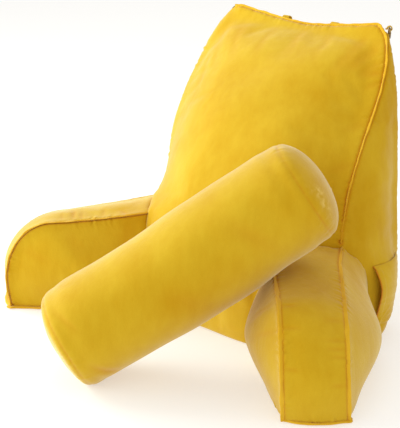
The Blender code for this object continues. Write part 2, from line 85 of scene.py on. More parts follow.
LEFT_FULL, REAR_FULL = 0.0085, 0.0022       # how far the filling pushes the left shoulder and rear seams out
LEFT_RISE, LEFT_FALL, LEFT_LOSS = (0.24, 0.36), (0.505, 0.536), 0.6    # heights over which it grows and fades
REAR_RISE, REAR_FALL = (0.05, 0.14), (0.40, 0.50)
RIGHT_LEAN, LEFT_LEAN, REAR_OUT = 0.80, (-1.1, 0.42), (0.75, 0.66, 0.0)     # directions of the edges

# Arms, in plan axes: run is forwards along the arm, across is away from the middle
ARM_ANGLE = np.radians(48.0)
FORWARDS = np.array((np.cos(ARM_ANGLE), -np.sin(ARM_ANGLE), 0.0))
SIDEWAYS = np.array((np.sin(ARM_ANGLE), np.cos(ARM_ANGLE), 0.0))
SEAM_TURNS = (0.0, 0.12, 0.45, 0.75, 1.0)
INNER_SEAM = (0.1255, 0.126, 0.1275, 0.1295, 0.1335)
OUTER_SEAM = (0.250, 0.241, 0.2350, 0.2345, 0.2400)
ARM_FRONT, ARM_LOW, ARM_TUCK = 0.367, 0.060, 0.010
EDGE_TURNS = {1: (-0.9, 0.9), -1: (-0.9, 1.7)}      # how far each sewn edge turns to its side panel
INNER_EDGE = (0.176, 0.014, 1.6, 0.245)    # top, rise to the backrest, its ease, run of the bend
OUTER_EDGE = (0.164, 0.023, 1.0, 0.222)
TOP_TURN, BEND_TURN = 8.0 / 23.0, 19.0 / 23.0
STRIP_CROWNS = {1: 0.011, -1: 0.009}
INNER_PANEL = (0.012, 0.5, 0.047, 0.8, 0.0)      # flare, square, crown, belly, toe
OUTER_PANEL = (0.044, 7.0, 0.043, 1.5, 0.030)
SEW_TUCK = 0.004             # the arms reach this far into the backrest's soft face
ARM_ROWS, ARM_PANEL, ARM_STRIP = 80, 30, 22

# Neck roll
ROLL_RADIUS, ROLL_LENGTH, ROLL_DOME = 0.0935, 0.528, 0.030
ROLL_LEFT = np.array((-0.0405, -0.3152, 0.0606))
ROLL_RIGHT = np.array((0.2612, 0.0006, 0.3458))
ROLL_EDGE_SHARE, ROLL_EDGE_RUN, ROLL_DIP, DISC_SHARE = 0.945, 0.045, 0.003, 0.93
ROLL_ROUND = 120
ROLL_BELLY, ROLL_PRESS = 0.0090, 0.0050     # sag of the underside, dip of the upper side
BELLY_RISE, BELLY_FALL, PRESS_PLACE, LEAN_SPAN = (0.10, 0.50), (0.64, 0.80), (0.36, 0.18), (0.04, 0.26)
ROLL_LEAN_LOW, ROLL_LEAN_HIGH = 0.0120, 0.0030
ROLL_FULL_END = 0.012                       # how much fuller the right disc is than its solid
NUB_TURN, NUB_PLACE = np.radians(246), np.radians(22)   # the small nub on the right disc
NUB_BELLS = ((0.0050, 0.0050), (-0.0016, 0.0120))       # height and reach of its two bells

# Pocket cloth
POCKET_LOW, POCKET_HIGH = 0.030, 0.145
POCKET_MOUTH, POCKET_END = 0.05, 0.93
POCKET_GAPE, POCKET_LIFT, POCKET_AIR, POCKET_GRID = 0.016, 1.5, 0.0011, 73
POCKET_HEM, POCKET_PULL, POCKET_RIPPLE, POCKET_SUNK = 0.0007, 0.0012, 0.0005, 0.0022
POCKET_PULLS = ((0.03, 0.9, 0.45), (0.05, 0.35, 0.55), (0.97, -0.7, 0.40), (0.94, -0.2, 0.35))
POCKET_TALL, POCKET_DEEP = 0.115, 0.100     # sizes of the sewn outline, for its hem, ripples and seams
CLOTH_THICK = 0.0022

# Tabs, loops and rings
TAB_PLACES = (-0.056, 0.060)
TAB_WIDTH, TAB_RISE, TAB_BEHIND, TAB_SUNK, TAB_FOLD = 0.020, 0.0062, 0.0026, 0.006, 0.0042
TAB_WAIST = (0.0110, 0.0050, 0.24)          # place, reach and share by which a tab narrows at its fold
TAB_DROPS, TAB_SLANT = (0.018, 0.014), 0.09
RING_RADIUS, RING_WIRE, RING_LEVEL = 0.0092, 0.0016, 0.533
RING_OUT = np.array((0.736, 0.676, 0.0)) / np.hypot(0.736, 0.676)
RING_REACH, RING_LIFT, RING_STEPS, WIRE_STEPS = 0.0095, 0.001, 72, 20
LOOP_WIDTH, LOOP_AIR, LOOP_START = 0.007, 0.0012, 0.0020
LOOP_ANGLES = np.radians((200.0, -110.0))

# Cloth work
VOXELS = (0.0066, 0.0052, 0.0052, 0.0056)       # grain of the even mesh: back, arms, roll
EVEN_ROUNDS = (8, 10, 10, 4)   # rounds of evening out before the finer mesh
SHRINK = 0.0050              # a cushion starts this much inside its form
SWELL_CAPS = (0.0045, 0.0020, 0.0024, 0.0024)   # furthest from the form: back, arms, roll
PRESSURE, INFLATE_FRAMES = 4.0, 20
CLOTH_QUALITY, CLOTH_MASS = 5, 0.25
STRETCH_STIFF, SHEAR_STIFF, BEND_STIFF, PIN_STIFF = 18.0, 8.0, 1.5, 2.0
SLACK = -0.015               # spare cloth, as a negative shrink
PIN_NEAR, PIN_FAR = 0.004, 0.032
PATH_STEP = 0.0025
NEAR_REACH, PAIRS_AT_ONCE = 0.060, 1_500_000
MERGE = 0.00002
DRAW_ARM, DRAW_BACK, DRAW_REAR = 0.006, 0.008, 0.010        # reach of drawing corners out to their seams
PUCKER_REACH = 0.0065
EDGE_SEAM = {"groove": 0.0018, "width": 0.0032, "pucker": 0.0009}
REAR_SEAM = {"groove": 0.0010, "width": 0.0032, "pucker": 0.0004}
FOOT_SEAM = {"groove": 0.0, "width": 0.0032, "pucker": 0.0008}
DISC_SEAM = {"groove": 0.0010, "width": 0.0026, "pucker": 0.0003}
BACK_LUMPS, ARM_LUMPS, ROLL_LUMPS, LUMP_LENGTHS = 0.0016, 0.0012, 0.0010, (0.09, 0.13, 0.19)
# Painted shade along seam grooves: its width and share at the cushions' seams and at the roll's disc seams
GROOVE_SHADE_WIDTH, DISC_SHADE_WIDTH, GROOVE_SHADE_SHARE, DISC_SHADE_SHARE = 0.0040, 0.0018, 0.9, 0.60
RIDGE_SHARE, RIDGE_WIDTH = 0.45, 2.2         # a crease's low ridges, as shares of its depth and width
DEEP_SHADE, NARROW_SHADE, CREASE_SHADE_SHARE = 0.0024, 0.012, 0.8      # deep narrow creases get the most painted shade
FLANGE_WIDTH, FLANGE_THICK = 0.0040, 0.0028
FLANGE_STEP, FLANGE_SIDES, FLANGE_PINCH = 0.0020, 16, 0.30
FLANGE_EAR, FLANGE_EAR_REACH = 1.1, 0.007
HIDDEN_TALL = 0.30           # the left arm's outer edge lies nearly flat
ROOT_DEPTH = 0.0070          # sewn edges start this far inside the cushion
STITCH_PITCH = 0.0040
BASE_EDGE_THICK, BASE_EDGE_WIDTHS, BASE_EDGE_OUT = 0.0042, {-1: 0.0052, 1: 0.0024}, 0.0012
BASE_EDGE_COLUMNS = {-1: (9, -9), 1: (ARM_PANEL, ARM_PANEL + ARM_STRIP + 2)}
# Wavelengths along a seam: strength and wave of its puckers, lean and width of its edge
STRENGTH_WAVES, PUCKER_WAVES = (0.11, 0.17, 0.29), (0.0095, 0.0135, 0.0210)
LEAN_WAVES, WIDTH_WAVES = (0.034, 0.057, 0.110), (0.027, 0.044, 0.090)
HEM_WAVES, RIPPLE_WAVES = (0.009, 0.014), (0.013, 0.022, 0.037)

# Soft creases, given one by one. Front panel: across and height of both ends, depth, width
FRONT_CREASES = (
    (-0.93, 0.522, -0.62, 0.445, 0.0017, 0.012), (-0.88, 0.5, -0.7, 0.405, 0.0014, 0.011),
    (-0.7, 0.528, -0.48, 0.47, 0.0011, 0.011), (-0.28, 0.528, -0.22, 0.478, 0.0010, 0.009),
    (0.05, 0.53, 0.12, 0.49, 0.0008, 0.009), (0.42, 0.532, 0.4, 0.485, 0.0009, 0.009),
    (0.8, 0.528, 0.58, 0.47, 0.0013, 0.012), (0.95, 0.518, 0.7, 0.478, 0.0014, 0.011),
    (0.97, 0.495, 0.8, 0.47, 0.0011, 0.008), (0.985, 0.478, 0.86, 0.474, 0.0015, 0.006),
    (0.985, 0.462, 0.88, 0.455, 0.0011, 0.006), (-0.55, 0.43, 0.25, 0.5, 0.0018, 0.034),
    (-0.3, 0.33, 0.55, 0.42, 0.0017, 0.039), (0.1, 0.26, 0.8, 0.36, 0.0014, 0.034),
    (0.985, 0.4, 0.86, 0.385, 0.0010, 0.008), (0.985, 0.33, 0.87, 0.318, 0.0009, 0.008),
    (0.985, 0.27, 0.85, 0.262, 0.0009, 0.008), (-0.97, 0.215, -0.72, 0.235, 0.0014, 0.012))
# Arms: turn and column of both ends, depth, width; columns count over the strip from the inner panel
LEFT_CREASES = (
    (0.275, 32, 0.295, 41, 0.0020, 0.005), (0.245, 31, 0.258, 38, 0.0015, 0.004),
    (0.318, 32, 0.332, 39, 0.0014, 0.004), (0.170, 32, 0.176, 39, 0.0015, 0.005),
    (0.080, 31, 0.110, 36, 0.0016, 0.006), (0.300, 29, 0.340, 20, 0.0006, 0.011),
    (0.060, 28, 0.120, 19, 0.0010, 0.012), (0.620, 29, 0.600, 22, 0.0006, 0.009))
RIGHT_CREASES = (
    (0.6, 51, 0.603, 44, 0.0013, 0.004), (0.636, 51, 0.642, 45, 0.0015, 0.004),
    (0.672, 51, 0.674, 46, 0.0012, 0.004), (0.5, 51, 0.508, 45, 0.0011, 0.004),
    (0.55, 31, 0.556, 37, 0.0011, 0.004), (0.42, 31, 0.424, 36, 0.0011, 0.004),
    (0.73, 31, 0.738, 36, 0.0011, 0.004), (0.8, 51, 0.796, 46, 0.0010, 0.004),
    (0.04, 54, 0.2, 66, 0.0010, 0.017), (0.12, 53, 0.26, 62, 0.0006, 0.013),
    (0.36, 29, 0.38, 20, 0.0013, 0.006), (0.56, 29, 0.56, 21, 0.0011, 0.006))
# Roll: turn in degrees and share of the length of both ends, depth, width
ROLL_CREASES = (
    (-20, 0.10, -60, 0.16, 0.0022, 0.008), (60, 0.08, 20, 0.13, 0.0012, 0.006),
    (35, 0.70, -20, 0.78, 0.0016, 0.015), (10, 0.40, -35, 0.50, 0.0014, 0.018))
# Painted sheen: pale places on the right disc's brushed pile: turn in degrees, share of the radius, size
DISC_SHEEN_PATCHES = ((-12, 0.86, 0.013), (8, 0.78, 0.010), (-30, 0.90, 0.009), (18, 0.93, 0.008))

# Stage: the floor, then the lamps with place, size, power and colour
FLOOR_HALF, FLOOR_GREY, FLOOR_GLOW = 12.0, (0.60, 0.60, 0.60, 1.0), 0.46
WHITE = (1.0, 1.0, 1.0, 1.0)
WORLD_TINT, WORLD_STRENGTH, WORLD_SEEN = (1.0, 0.968, 0.91, 1.0), 0.80, 1.02
LAMPS = (
    ("key from the left", (-2.2, -1.0, 1.3), (1.3, 1.3), 42.0, (0.88, 1.0, 0.97)),
    ("low left front", (-1.9, -2.0, 0.45), (1.4, 0.9), 34.0, (0.88, 1.0, 0.96)),
    ("front", (0.6, -2.3, 1.5), (1.8, 1.4), 5.0, (1.0, 1.0, 1.0)),
    ("top", (-0.5, 0.3, 2.4), (1.6, 1.6), 6.0, (1.0, 1.0, 1.0)))


# ---- plain helpers

def unit(vectors):
    """Each vector over its own length."""
    return vectors / np.linalg.norm(vectors, axis=-1, keepdims=True)


def smooth_step(x, low, high):
    """Rises from 0 at low to 1 at high: three squares less two cubes of the place between."""
    t = np.clip((x - low) / (high - low), 0.0, 1.0)
    return t * t * (3.0 - 2.0 * t)


def bell(distance, width):
    """One at no distance, falling as the exponential of minus the square of distance over width."""
    return np.exp(-(distance / width) ** 2)


def squared_off(values, power):
    """Each value to a power with its sign kept; below one it makes a circle's section boxier."""
    return np.sign(values) * np.abs(values) ** power


def mirrored(points, side):
    """The points times side across; -1 mirrors them to the left."""
    return np.asarray(points) * np.array((side, 1.0, 1.0))


def wander(s, seed, lengths):
    """A wandering value near -1..1 along s: the mean of sines of these wavelengths, seeded phases."""
    phases = np.random.default_rng(seed).uniform(0.0, 2.0 * np.pi, len(lengths))
    waves = np.sin(2.0 * np.pi * s[..., None] / np.array(lengths) + phases)
    return waves.sum(-1) / np.sqrt(len(lengths))


def path_length(path):
    """Length from the start to each point: the running sum of the steps."""
    steps = np.linalg.norm(np.diff(path, axis=0), axis=1)
    return np.concatenate(((0.0,), np.cumsum(steps)))


def even_path(path, step=PATH_STEP):
    """The same line with points every step metres, by straight interpolation on its length."""
    s = path_length(path)
    count = max(int(round(s[-1] / step)), 2)
    at = np.linspace(0.0, s[-1], count + 1)
    return np.stack([np.interp(at, s, path[:, k]) for k in range(path.shape[1])], axis=1)


def nearest_on(path, points, reach=NEAR_REACH):
    """For each point, the distance to the closest sample of a path, and that sample's number.

    Points further than reach outside the path's own box are given a distance of ten reaches.
    """
    distance = np.full(len(points), 10.0 * reach)
    sample = np.zeros(len(points), int)
    near = ((points > path.min(0) - reach) & (points < path.max(0) + reach)).all(1)
    near = np.flatnonzero(near)
    block = max(PAIRS_AT_ONCE // len(path), 1)
    for start in range(0, len(near), block):
        part = near[start:start + block]
        square = ((points[part, None] - path[None]) ** 2).sum(-1)
        sample[part] = square.argmin(1)
        distance[part] = np.sqrt(square.min(1))
    return distance, sample


def grid_faces(rows, columns, around=False):
    """Quads of a grid of points; around joins the last column to the first."""
    i = np.arange(rows - 1)[:, None] * columns
    j = np.arange(columns if around else columns - 1)[None]
    k = (j + 1) % columns
    return np.stack((i + j, i + k, i + columns + k, i + columns + j), axis=-1).reshape(-1, 4).tolist()


def capped_faces(rows, columns, around=True):
    """Quads of a grid, with one face over its first row and one over its last."""
    last = (rows - 1) * columns
    return grid_faces(rows, columns, around) + [list(range(columns)), list(range(last, last + columns))]


def add_object(name, data):
    """Puts a mesh, lamp or camera into the scene, at the origin."""
    thing = bpy.data.objects.new(name, data)
    bpy.context.scene.collection.objects.link(thing)
    return thing


def mesh_piece(name, points, faces, material):
    """A smooth object at the origin with these points and faces."""
    mesh = bpy.data.meshes.new(name)
    mesh.from_pydata(np.asarray(points).reshape(-1, 3).tolist(), [], faces)
    mesh.materials.append(material)
    mesh.shade_smooth()
    return add_object(name, mesh)


def closed_piece(name, points, faces, material):
    """The same for a closed shape: its doubles are merged and its faces pointed outwards."""
    piece = mesh_piece(name, points, faces, material)
    shape = bmesh.new()
    shape.from_mesh(piece.data)
    bmesh.ops.remove_doubles(shape, verts=shape.verts, dist=MERGE)
    bmesh.ops.recalc_face_normals(shape, faces=shape.faces)
    shape.to_mesh(piece.data)
    shape.free()
    piece.data.shade_smooth()
    return piece


def vectors_of(items, label):
    """Reads one vector an item into rows."""
    flat = np.empty(len(items) * 3, np.float32)
    items.foreach_get(label, flat)
    return flat.reshape(-1, 3).astype(float)


def coordinates(piece):
    """The piece's points, a row each."""
    return vectors_of(piece.data.vertices, "co")


def surface(piece):
    """A piece's points and the outward directions at them."""
    return coordinates(piece), vectors_of(piece.data.vertex_normals, "vector")


def set_coordinates(piece, points):
    """Moves the piece's points to these rows."""
    piece.data.vertices.foreach_set("co", points.astype(np.float32).ravel())
    piece.data.update()


def keep_evaluated(piece):
    """Replaces a piece's mesh by what its modifiers give, and drops the modifiers."""
    graph = bpy.context.evaluated_depsgraph_get()
    made = bpy.data.meshes.new_from_object(piece.evaluated_get(graph))
    old = piece.data
    piece.modifiers.clear()
    piece.data = made
    bpy.data.meshes.remove(old)
    return piece


def set_value(piece, name, values):
    """Stores one number a point, for the material to read."""
    layer = piece.data.attributes.new(name, "FLOAT", "POINT")
    layer.data.foreach_set("value", values.astype(np.float32))


def dress(piece, node):
    """Puts a finished piece in its frame: it rides on the body and stands for its CAD node."""
    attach(piece, "root")
    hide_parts(node)


# ---- materials

def new_group(name, inputs, outputs):
    """A shader node group with named sockets, and its input and output nodes."""
    group = bpy.data.node_groups.new(name, "ShaderNodeTree")
    for label, kind, value in inputs:
        socket = group.interface.new_socket(label, in_out="INPUT", socket_type=kind)
        if value is not None:
            socket.default_value = value
    for label, kind in outputs:
        group.interface.new_socket(label, in_out="OUTPUT", socket_type=kind)
    return group, group.nodes.new("NodeGroupInput"), group.nodes.new("NodeGroupOutput")


def fill_sockets(tree, node, given):
    """Gives each named or numbered socket of a node its link or its own fixed value."""
    for label, value in given.items():
        if isinstance(value, bpy.types.NodeSocket):
            tree.links.new(value, node.inputs[label])
        else:
            node.inputs[label].default_value = value
    return node


def noise(tree, place, scale, detail, rough=0.5):
    """Soft random value over a place."""
    node = tree.nodes.new("ShaderNodeTexNoise")
    given = {"Vector": place, "Scale": scale, "Detail": detail, "Roughness": rough}
    return fill_sockets(tree, node, given).outputs["Fac"]


def spread(tree, value, low, high, to_low, to_high):
    """Maps a value's stretch from low to high onto to_low to to_high, held at both ends."""
    node = tree.nodes.new("ShaderNodeMapRange")
    given = {"Value": value, "From Min": low, "From Max": high, "To Min": to_low, "To Max": to_high}
    return fill_sockets(tree, node, given).outputs["Result"]


def arithmetic(tree, operation, first, second):
    """One sum or product of two values."""
    node = tree.nodes.new("ShaderNodeMath")
    node.operation = operation
    return fill_sockets(tree, node, {0: first, 1: second}).outputs[0]


def mixed(tree, factor, first, second):
    """Mixes two colours; sockets 6 and 7 of the node are its colours, and output 2 is the mixture."""
    node = tree.nodes.new("ShaderNodeMix")
    node.data_type = "RGBA"
    return fill_sockets(tree, node, {0: factor, 6: first, 7: second}).outputs[2]


def bumped(tree, height, distance, strength, **normal):
    """A normal tilted by the slope of a height."""
    node = tree.nodes.new("ShaderNodeBump")
    given = {"Height": height, "Distance": distance, "Strength": strength, **normal}
    return fill_sockets(tree, node, given).outputs["Normal"]


def new_material(name):
    """A material, its node tree and its shader."""
    material = bpy.data.materials.new(name)
    material.use_nodes = True
    return material, material.node_tree, material.node_tree.nodes["Principled BSDF"]


def own_place(tree):
    """The piece's own coordinates, in which its patterns are laid out."""
    return tree.nodes.new("ShaderNodeTexCoord").outputs["Object"]


# Painted light mixed into the velvet's colour: a deeper orange as painted shade in creases, seam grooves and
# the pocket's mouth, and a pale colour as painted sheen where the pile is brushed.
FOLD_SHADE_ORANGE, PAINTED_SHEEN_PALE = (0.56, 0.190, 0.002, 1.0), (0.84, 0.62, 0.16, 1.0)


def pile_group():
    """Velvet pile: broad patches of lay, short brushed strokes, and the fine grain of the pile.

    The lay mixes a deep and a brushed colour. Fold weights paint shade as a deeper orange in
    creases and grooves, and sheen weights paint pale sheen patches. The grain darkens it a little and lifts
    the normal.
    """
    group, given, out = new_group(
        "velvet pile",
        (("Place", "NodeSocketVector", None), ("Deep", "NodeSocketColor", (0.6, 0.3, 0.02, 1.0)),
         ("Brushed", "NodeSocketColor", (0.9, 0.6, 0.1, 1.0)), ("Lay", "NodeSocketFloat", 1.0),
         ("Fold", "NodeSocketFloat", 0.0), ("Sheen_patch", "NodeSocketFloat", 0.0)),
        (("Color", "NodeSocketColor"), ("Roughness", "NodeSocketFloat"), ("Normal", "NodeSocketVector")))
    place = given.outputs["Place"]
    broad = spread(group, noise(group, place, 7.0, 2.0), 0.35, 0.65, 0.0, 1.0)
    turned = fill_sockets(group, group.nodes.new("ShaderNodeMapping"), {
        "Vector": place, "Rotation": (0.3, 0.5, 0.2), "Scale": (1.0, 1.0, 0.35)}).outputs["Vector"]
    stroke = spread(group, noise(group, turned, 60.0, 3.0, 0.6), 0.3, 0.7, 0.0, 1.0)
    grain = noise(group, place, 1400.0, 2.0, 0.7)
    lay = arithmetic(group, "ADD", arithmetic(group, "MULTIPLY", broad, 0.65),
                     arithmetic(group, "MULTIPLY", stroke, 0.35))
    lay = arithmetic(group, "MULTIPLY", lay, given.outputs["Lay"])
    colour = mixed(group, lay, given.outputs["Deep"], given.outputs["Brushed"])
    colour = mixed(group, given.outputs["Fold"], colour, FOLD_SHADE_ORANGE)
    painted_sheen = spread(group, noise(group, place, 90.0, 4.0, 0.65), 0.46, 0.62, 0.0, 1.0)
    painted_sheen = arithmetic(group, "MULTIPLY", painted_sheen, given.outputs["Sheen_patch"])
    colour = mixed(group, painted_sheen, colour, PAINTED_SHEEN_PALE)
    shade = spread(group, grain, 0.25, 0.75, 0.90, 1.06)
    tint = group.nodes.new("ShaderNodeVectorMath")
    tint.operation = "SCALE"
    fill_sockets(group, tint, {0: colour, "Scale": shade})
    soft = bumped(group, stroke, 0.0012, 0.25)
    fill_sockets(group, out, {
        "Color": tint.outputs["Vector"], "Roughness": spread(group, lay, 0.0, 1.0, 0.92, 0.74),
        "Normal": bumped(group, grain, 0.0003, 0.45, Normal=soft)})
    return group


PILE = pile_group()


def velvet(name, deep, brushed, lay=1.0, sheen=0.6):
    """Velvet: the pile group for colour and grain, with a pale sheen set on the shader itself."""
    material, tree, shader = new_material(name)
    pile = tree.nodes.new("ShaderNodeGroup")
    pile.node_tree = PILE
    given = {"Place": own_place(tree), "Deep": (*deep, 1.0), "Brushed": (*brushed, 1.0), "Lay": lay}
    # Two attributes paint light into the colour: the first weights painted shade in creases and grooves, the
    # second weights painted sheen patches.
    for layer in ("Fold", "Sheen_patch"):
        value = tree.nodes.new("ShaderNodeAttribute")
        value.attribute_name = layer.lower()
        given[layer] = value.outputs["Fac"]
    made = fill_sockets(tree, pile, given).outputs
    fill_sockets(tree, shader, {
        "Base Color": made["Color"], "Roughness": made["Roughness"], "Normal": made["Normal"],
        "Sheen Weight": sheen, "Sheen Roughness": 0.40, "Sheen Tint": (1.0, 0.94, 0.74, 1.0),
        "Specular IOR Level": 0.12})
    return material


def antique_brass():
    """Dark antique brass: brown in the hollows, brighter where it rubs, with fine pits."""
    material, tree, shader = new_material("antique brass")
    place = own_place(tree)
    rubbed = spread(tree, noise(tree, place, 260.0, 4.0, 0.6), 0.42, 0.62, 0.0, 1.0)
    fill_sockets(tree, shader, {
        "Base Color": mixed(tree, rubbed, (0.16, 0.10, 0.035, 1.0), (0.52, 0.37, 0.15, 1.0)),
        "Roughness": spread(tree, rubbed, 0.0, 1.0, 0.55, 0.30), "Metallic": 1.0,
        "Normal": bumped(tree, noise(tree, place, 1600.0, 3.0), 0.0002, 0.5)})
    return material


DEEP_YELLOW, BRUSHED_YELLOW = (0.57, 0.315, 0.002), (0.66, 0.425, 0.014)
# The sewn edges' velvet is a lighter copy of the same cloth: painted highlight where their raised ridges
# catch the light.
EDGE_DEEP_LIT, EDGE_BRUSHED_LIT = (0.66, 0.355, 0.004), (0.80, 0.50, 0.030)
BODY_VELVET = velvet("yellow velvet", DEEP_YELLOW, BRUSHED_YELLOW)
ROLL_VELVET = velvet("yellow velvet on the roll", DEEP_YELLOW, BRUSHED_YELLOW, lay=0.9, sheen=0.75)
LIT_EDGE_VELVET = velvet("yellow velvet on sewn edges", EDGE_DEEP_LIT, EDGE_BRUSHED_LIT, lay=0.8, sheen=0.5)
BRASS = antique_brass()


# ---- forms

def table_at(height):
    """Every column of the backrest's table at these heights.

    Between two rows it is a cubic whose end slopes are harmonic means of the neighbouring rises,
    so that it never overshoots. The front seam is kept behind the arms' sewing plane.
    """
    keys = BACK_TABLE[:, 0]
    row = np.clip(np.searchsorted(keys, height, side="right") - 1, 0, len(keys) - 2)
    step = np.diff(keys)[:, None]
    rise = np.diff(BACK_TABLE[:, 1:], axis=0) / step
    both = rise[:-1] * rise[1:] > 0
    mean = 2.0 * rise[:-1] * rise[1:] / np.where(both, rise[:-1] + rise[1:], 1.0)
    slope = np.vstack((rise[:1], np.where(both, mean, 0.0), rise[-1:]))
    h = step[row]
    t = (height - keys[row])[:, None] / h
    low, high = BACK_TABLE[row, 1:], BACK_TABLE[row + 1, 1:]
    values = (low * (1 + 2 * t) * (1 - t) ** 2 + high * t * t * (3 - 2 * t)
              + slope[row] * h * t * (1 - t) ** 2 - slope[row + 1] * h * t * t * (1 - t))
    sizes = {name: values[:, k:k + 1] for k, name in enumerate(BACK_COLUMNS[1:])}
    sizes["seam_y"] = np.maximum(sizes["seam_y"], sewn_depth(sizes["seam_x"]))
    return sizes


def sizes_along(height):
    """The same columns, each as a plain row of values."""
    return {name: value[:, 0] for name, value in table_at(height).items()}


def sewn_depth(x):
    """Least depth at half width x that keeps behind the arm's sewing plane."""
    return (SEW_NORMAL[0] * np.abs(x) - SEW_REACH + GAP) / -SEW_NORMAL[1]


def ear(height, x, half):
    """Rise towards the top corners: a power of the place across, growing over the last rows.

    It rounds off over the last stretch of the ridge, where the filling can't reach the corner.
    """
    weight = np.clip((height - EAR_START) / (BACK_TOP - EAR_START), 0.0, 1.0) ** 2
    place = np.abs(x) / half
    drop = CORNER_DROP * smooth_step(place, CORNER_START, CORNER_END) ** 2
    return weight * (EAR_RISE * place ** EAR_POWER - drop)


def front_depth(s, across):
    """The front panel's depth: a power curve between its two seams."""
    return s["seam_y"] - (s["seam_y"] - s["front"]) * (1.0 - np.abs(across) ** s["power"])


def side_place(s, t):
    """Plan place on the right side panel, from seam to rear: a line with a parabola's fullness."""
    x = s["seam_x"] + (s["rear_x"] - s["seam_x"]) * t + 4.0 * t * (1.0 - t) * s["side"]
    return x, s["seam_y"] + (s["rear_y"] - s["seam_y"]) * t


def back_grid(height):
    """Levels of the backrest, one row each, anticlockwise from the front left seam.

    The rear is a parabola, as the sides are. The left shoulder is a little fuller than the right one.
    """
    s = table_at(height)
    loss = LEFT_LOSS * smooth_step(height, *LEFT_FALL)
    full = LEFT_FULL * (smooth_step(height, *LEFT_RISE) * (1.0 - loss))[:, None]
    across = np.linspace(-1.0, 1.0, BACK_FRONT + 1)[None]
    x = s["seam_x"] * across - full * smooth_step(-across, 0.30, 1.0)
    t = np.linspace(0.0, 1.0, BACK_SIDE + 1)[None, 1:-1]
    side_x, side_y = side_place(s, t)
    rear_y = s["rear_y"] + s["rear"] * (1.0 - across ** 2)
    left_x = -(side_x + full * (1.0 - t) ** 1.5)
    xs = np.concatenate((x, side_x, -s["rear_x"] * across, left_x[:, ::-1]), axis=1)
    ys = np.concatenate((front_depth(s, across), side_y, rear_y, side_y[:, ::-1]), axis=1)
    ys = np.maximum(ys, sewn_depth(xs))
    zs = height[:, None] + ear(height[:, None], xs, s["seam_x"] + full * (xs < 0.0))
    return np.stack((xs, ys - BASE_MIDDLE, zs), axis=-1)


def back_form():
    """The backrest's closed form, its front and rear bridged by quads at floor and ridge."""
    t = np.linspace(0.0, 1.0, BACK_ROWS)
    grid = back_grid(BACK_TOP * (t - 0.08 * np.sin(2.0 * np.pi * t)))
    size = grid.shape[1]
    faces = grid_faces(BACK_ROWS, size, around=True)
    rear = BACK_FRONT + BACK_SIDE
    i = np.arange(BACK_FRONT)
    for base in (0, (BACK_ROWS - 1) * size):
        j = rear + BACK_FRONT - i
        faces += (base + np.stack((i, i + 1, j - 1, j), axis=1)).tolist()
        faces.append((base + np.arange(BACK_FRONT, rear + 1)).tolist())
        faces.append((base + np.arange(rear + BACK_FRONT, size + 1) % size).tolist())
    return closed_piece("backrest_velvet", grid, faces, BODY_VELVET)


def back_seam_path():
    """Up the right front seam, over the ridge and down the left one, with outward directions.

    The right edge leans to the front, the left one lies back against its side panel.
    """
    height = np.linspace(SEAM_START, BACK_TOP, BACK_SEAM_ROWS)
    grid = back_grid(height)
    side = grid[:, BACK_FRONT]
    weight = np.clip((height - 0.50) / 0.058, 0.0, 1.0)[:, None]
    lean = np.concatenate((
        np.full_like(weight, RIGHT_LEAN), -0.60 * (1.0 - weight), 1.3 * weight ** 2), axis=1)
    front, rear = grid[-1, :BACK_FRONT + 1], grid[-1, BACK_FRONT + BACK_SIDE:][:BACK_FRONT + 1][::-1]
    ridge = ((front + rear) / 2.0)[2:-2][::-1]
    up = np.tile((0.0, 0.0, 1.0), (len(ridge), 1))
    back_lean = lean * (LEFT_LEAN[0], 0.0, 1.0) + (0.0, LEFT_LEAN[1], 0.0) * (1.0 - weight)
    path = np.concatenate((side, ridge, grid[::-1, 0]))
    return path, np.concatenate((lean, up, back_lean[::-1]))


def rear_edge_paths():
    """The plain seams between side and back panels, right then left, with outward directions."""
    edge = back_grid(np.linspace(0.004, 0.528, 150))[:, BACK_FRONT + BACK_SIDE]
    out = np.tile(REAR_OUT, (len(edge), 1))
    height = edge[:, 2:]
    edge = edge + REAR_FULL * out * smooth_step(height, *REAR_RISE) * (1.0 - smooth_step(height, *REAR_FALL))
    return [(mirrored(edge, side), mirrored(out, side)) for side in (1, -1)]


def arm_edge(turn, top, rise, ease, bend_run):
    """An edge of the boxing strip at each turn: run fraction, height, angle of its outward normal.

    The top falls gently, a quarter ellipse rounds the front, and the upright has a tucked foot.
    """
    bend = bend_run / ARM_FRONT
    level = np.clip(turn / TOP_TURN, 0.0, 1.0)
    angle = 0.5 * np.pi * (1.0 - np.clip((turn - TOP_TURN) / (BEND_TURN - TOP_TURN), 0.0, 1.0))
    down = np.clip((turn - BEND_TURN) / (1.0 - BEND_TURN), 0.0, 1.0)
    bent = bend + (1.0 - bend) * np.cos(angle)
    fraction = np.where(turn < TOP_TURN, bend * level, bent) - ARM_TUCK / ARM_FRONT * down ** 2
    height = np.where(turn < TOP_TURN, top + rise * (1.0 - level) ** ease,
                      ARM_LOW + (top - ARM_LOW) * np.sin(angle))
    return fraction, np.where(turn > BEND_TURN, ARM_LOW * (1.0 - down), height), angle


def arm_place(fraction, across, height, out=0.0):
    """Plan axes of the right arm to world axes; fraction 0 is the sewing plane."""
    rear = (SEW_REACH - SEW_TUCK - across * (SEW_NORMAL @ SIDEWAYS[:2])) / (SEW_NORMAL @ FORWARDS[:2])
    run = rear + fraction * (ARM_FRONT - rear) + out
    return (run[..., None] * FORWARDS + across[..., None] * SIDEWAYS
            + np.stack((0.0 * height, 0.0 * height - BASE_MIDDLE, height), axis=-1))


def panel_offset(reach, turn, flare, square, crown, belly, toe):
    """How far a side panel stands out: a fading flare, a toe at the rear foot and a parabolic crown."""
    fade = 1.0 - reach ** (1.0 + square * (1.0 - turn) ** 3)
    fullness = 0.25 + 0.75 * np.sin(np.pi * turn ** belly)
    return flare * fade + toe * (1.0 - reach) ** 8 + crown * 4.0 * reach * (1.0 - reach) * fullness


